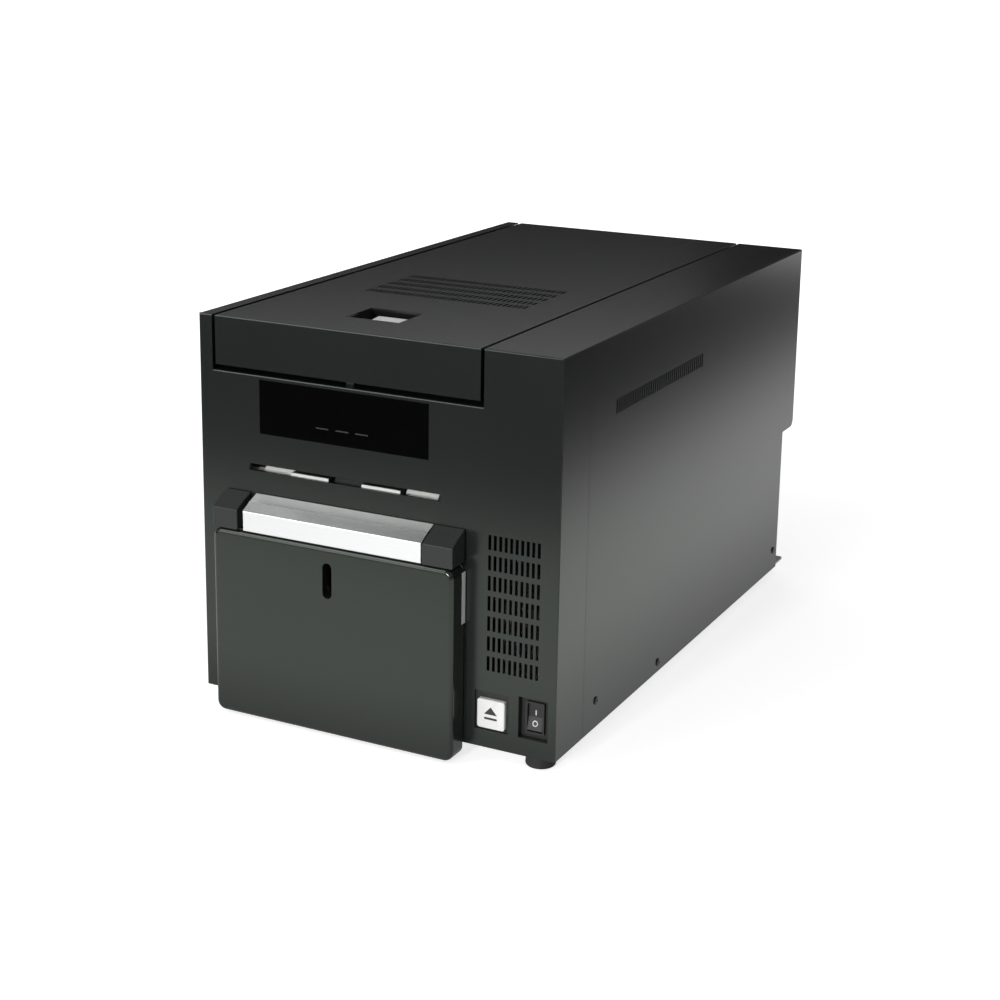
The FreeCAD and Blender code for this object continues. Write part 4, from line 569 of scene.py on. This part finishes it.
def screw_set(name, seats, radius, height):
    """Cross-recess screws of the cabinet, each with its place and outward direction."""
    bm = bmesh.new()
    for place, outwards in seats:
        turn = Matrix.Rotation(screw_turn_y * place[1] + screw_turn_z * place[2], 4, "Y")
        cross_screw(bm, facing(place, outwards) @ turn, radius, height)
    return piece(name, bm, black_steel_and_shade, "cabinet")


# Side screws, at places along the covers and up them

cover_face = box_of("right_cover")[1].x
side_screw_places = ((-0.168, 0.0315), (-0.051, 0.0188), (0.217, 0.029))
seats = [((side * cover_face, y, z), (side, 0, 0)) for side in (-1, 1) for y, z in side_screw_places]
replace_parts(screw_set("side_screws", seats, radius=0.003, height=0.001), "cover_screws")

# Screws of the fan, of the rear panel's upper and lower part and of the mains inlet

fan_middle = middle_of("fan_frame")
fan_screw_reach = 0.020
seats = [surface_at("rear_panel", fan_middle.x + across, fan_middle.z + up, rear)
         for across in (-fan_screw_reach, fan_screw_reach) for up in (-fan_screw_reach, fan_screw_reach)]
screw_set("fan_screws", seats, radius=0.0026, height=0.0009)

rear_screw_reach = 0.134
for name, levels in (("rear_upper_screws", (0.150, 0.243)), ("rear_lower_screws", (0.026, 0.118))):
    seats = [surface_at("rear_panel", across, level, rear)
             for across in (-rear_screw_reach, rear_screw_reach) for level in levels]
    screw_set(name, seats, radius=0.0028, height=0.0010)

inlet_middle = middle_of("power_inlet")
inlet_screw_reach = 0.0195
seats = [surface_at("power_inlet", inlet_middle.x + across, inlet_middle.z, rear)
         for across in (-inlet_screw_reach, inlet_screw_reach)]
screw_set("inlet_screws", seats, radius=0.0021, height=0.0006)

# Three dashes on the window

dash_lefts = (-0.0461, -0.0299, -0.0141)
dash_level = 0.2215
dash_length = 0.0104
dash_width = 0.0009
bm = bmesh.new()
for left in dash_lefts:
    seat = surface_at("display_window", left + dash_length / 2, dash_level, front)
    printed(bm, bar_outline(dash_length, dash_width), facing(*seat))
piece("window_marks", bm, grey_print, "cabinet")

# Eject symbol on the button: a triangle over a bar

button_middle = middle_of("push_button")
eject_half = 0.0050
eject_rise = 0.0056
eject_bar_width = 0.0016
eject_bar_drop = 0.0030
bm = bmesh.new()
seat = surface_at("push_button", button_middle.x, button_middle.z, front)
printed(bm, [(-eject_half, 0), (eject_half, 0), (0, eject_rise)], facing(*seat))
seat = surface_at("push_button", button_middle.x, button_middle.z - eject_bar_drop, front)
printed(bm, bar_outline(2 * eject_half, eject_bar_width), facing(*seat))
piece("button_mark", bm, black_print, "eject_button")

# I and O on the rocker, with the places of its two halves and how far each turns up

switch_middle = middle_of("switch_housing")
on_length = 0.0040
on_width = 0.0009
on_rise = 0.0034
on_face = -0.230125
on_upturn = -0.024
off_radius = 0.0021
off_width = 0.0007
off_drop = 0.0042
off_face = -0.231366
off_upturn = 0.275
bm = bmesh.new()
upright_bar = [(-z, x) for x, z in bar_outline(on_length, on_width)]
place = (switch_middle.x, on_face, switch_middle.z + on_rise)
printed(bm, upright_bar, facing(place, (0, front, on_upturn)))
place = (switch_middle.x, off_face, switch_middle.z - off_drop)
printed_ring(bm, off_radius, off_width, facing(place, (0, front, off_upturn)))
piece("switch_marks", bm, white_print, "power_rocker")


# Studio

def between(tree, value, first, last):
    """1 between two limits of a coordinate, with soft edges."""
    half = lit_floor_soft / 2
    past_first = ranged(tree, value, 0, 1, first - half, first + half)
    before_last = ranged(tree, value, 1, 0, last - half, last + half)
    return combined(tree, "MULTIPLY", past_first, before_last)


def lit_floor(tree, x, y):
    """1 on the floor's pale part and 0 on its dark part."""
    beside = between(tree, x, -lit_floor_left, lit_floor_right)
    along = between(tree, y, -lit_floor_front, lit_floor_rear)
    ahead = ranged(tree, y, 1, 0, cad_low[1], cad_low[1] + lit_floor_soft)
    behind = ranged(tree, y, 0, 1, lit_floor_behind, lit_floor_behind + lit_floor_soft)
    across = combined(tree, "MAXIMUM", beside, combined(tree, "MAXIMUM", ahead, behind))
    return combined(tree, "MULTIPLY", across, along)


def floor_surface(tree, position, lit, seen):
    """Matt floor, pale or dark, all pale to the camera and with a glow for it alone."""
    dark = add(tree, "ShaderNodeBsdfDiffuse", {"Color": dark_floor_colour}).outputs[0]
    pale = add(tree, "ShaderNodeBsdfDiffuse", {"Color": floor_colour}).outputs[0]
    matt = mixed_shader(tree, combined(tree, "MAXIMUM", lit, seen), dark, pale)
    distance = add(tree, "ShaderNodeVectorMath", {0: position}, operation="LENGTH").outputs["Value"]
    level = ranged(tree, distance, glow_near, glow_far, glow_radius, glow_radius + glow_soft)
    glow = add(tree, "ShaderNodeEmission", {"Strength": combined(tree, "MULTIPLY", level, seen)})
    return add(tree, "ShaderNodeAddShader", {0: matt, 1: glow.outputs[0]}).outputs[0]


def floor_reflection(tree, x, y, lit):
    """Light that reflections find in the floor, lower beside the object's foot as a painted shadow."""
    # The level dips beside the object's foot: a painted shadow of the object in the floor's reflection
    out_x = ranged(tree, combined(tree, "ABSOLUTE", x), 0, 1, cad_high[0], cad_high[0] + foot_shadow_reach)
    out_y = ranged(tree, y, 1, 0, cad_low[1] - foot_shadow_reach, cad_low[1])
    clear = ranged(tree, combined(tree, "MAXIMUM", out_x, out_y), reflected_foot_shadow, 1, 0, 1)
    level = ranged(tree, lit, reflected_dark, reflected_pale, 0, 1)
    strength = combined(tree, "MULTIPLY", level, clear)
    return add(tree, "ShaderNodeEmission", {"Strength": strength}).outputs[0]


def floor_material():
    """Floor that differs for the camera and for reflections and is clear from below."""
    material = bpy.data.materials.new("studio_floor")
    material.use_nodes = True
    tree = material.node_tree
    tree.nodes.clear()
    geometry = add(tree, "ShaderNodeNewGeometry").outputs
    rays = add(tree, "ShaderNodeLightPath").outputs
    parts = parts_of(tree, geometry["Position"])
    lit = lit_floor(tree, parts["X"], parts["Y"])
    surface = floor_surface(tree, geometry["Position"], lit, rays["Is Camera Ray"])
    reflection = floor_reflection(tree, parts["X"], parts["Y"], lit)
    mirrored = combined(tree, "MAXIMUM", rays["Is Glossy Ray"], rays["Is Transmission Ray"])
    above = mixed_shader(tree, mirrored, surface, reflection)
    clear = add(tree, "ShaderNodeBsdfTransparent").outputs[0]
    open_below = mixed_shader(tree, geometry["Backfacing"], above, clear)
    add(tree, "ShaderNodeOutputMaterial", {"Surface": open_below})
    return material


def studio_floor():
    """Flat floor that the feet stand on."""
    mesh = bpy.data.meshes.new("floor")
    corners = [(x, y, 0) for x, y in ((-floor_half, -floor_half), (floor_half, -floor_half),
                                      (floor_half, floor_half), (-floor_half, floor_half))]
    mesh.from_pydata(corners, [], [(0, 1, 2, 3)])
    mesh.materials.append(floor_material())
    floor = bpy.data.objects.new("floor", mesh)
    bpy.context.scene.collection.objects.link(floor)


def softbox(name, place, aim, width, height, power):
    """Oblong area lamp aimed at a point. The camera doesn't see it."""
    lamp = bpy.data.lights.new(name, "AREA")
    lamp.shape = "RECTANGLE"
    lamp.size = width
    lamp.size_y = height
    lamp.energy = power
    holder = bpy.data.objects.new(name, lamp)
    holder.location = place
    holder.rotation_euler = (Vector(aim) - Vector(place)).to_track_quat("-Z", "Y").to_euler()
    holder.visible_camera = False
    bpy.context.scene.collection.objects.link(holder)


def sky_ramp(tree, height, stops):
    """Grey levels of the surroundings at heights of a direction, from level to straight up."""
    ramp = add(tree, "ShaderNodeValToRGB", {"Fac": height})
    elements = ramp.color_ramp.elements
    for position, level in stops:
        elements.new(position).color = (*grey(level), 1)
    elements.remove(elements[0])
    elements.remove(elements[-1])
    return ramp.outputs["Color"]


def studio_world():
    """White where the camera sees it, a dim sky for the light, dark low rear walls in reflections."""
    world = bpy.data.worlds.new("studio")
    bpy.context.scene.world = world
    world.use_nodes = True
    tree = world.node_tree
    direction = parts_of(tree, add(tree, "ShaderNodeTexCoord").outputs["Generated"])
    front_half = sky_ramp(tree, direction["Z"], sky_reflected_front)
    rear_half = sky_ramp(tree, direction["Z"], sky_reflected_rear)
    walls = mixed_colour(tree, ranged(tree, direction["Y"], 0, 1, *sky_turn), front_half, rear_half)
    rays = add(tree, "ShaderNodeLightPath").outputs
    unseen = mixed_colour(tree, rays["Is Glossy Ray"], sky_ramp(tree, direction["Z"], sky_light), walls)
    seen = combined(tree, "MAXIMUM", rays["Is Camera Ray"], rays["Is Transmission Ray"])
    colour = mixed_colour(tree, seen, unseen, white)
    fill(tree, tree.nodes["Background"], {"Color": colour, "Strength": 1.0})


def studio_camera():
    """Camera at the photograph's angle."""
    lens = bpy.data.cameras.new("camera")
    lens.lens = camera_lens
    lens.shift_y = camera_shift
    holder = bpy.data.objects.new("camera", lens)
    holder.location = camera_place
    holder.rotation_euler = Euler([math.radians(turn) for turn in camera_turn_degrees])
    bpy.context.scene.collection.objects.link(holder)
    bpy.context.scene.camera = holder


studio_floor()
studio_world()
studio_camera()
softbox("top_softbox", place=(-1.05, -1.15, 1.68), aim=(0, -0.1, 0.1), width=0.8, height=0.8, power=7.5)
softbox("left_softbox", place=(-1.3, -2.2, 0.8), aim=(0, -0.2, 0.15), width=1.3, height=1.3, power=12)
softbox("front_softbox", place=(0.0, -2.3, 0.55), aim=(0, -0.2, 0.18), width=0.25, height=0.5, power=26)
softbox("rear_card", place=(-0.75, 1.2, 0.90), aim=(0, 0, 0.29), width=0.9, height=0.4, power=0.55)

view = bpy.context.scene.view_settings
view.view_transform = "Standard"
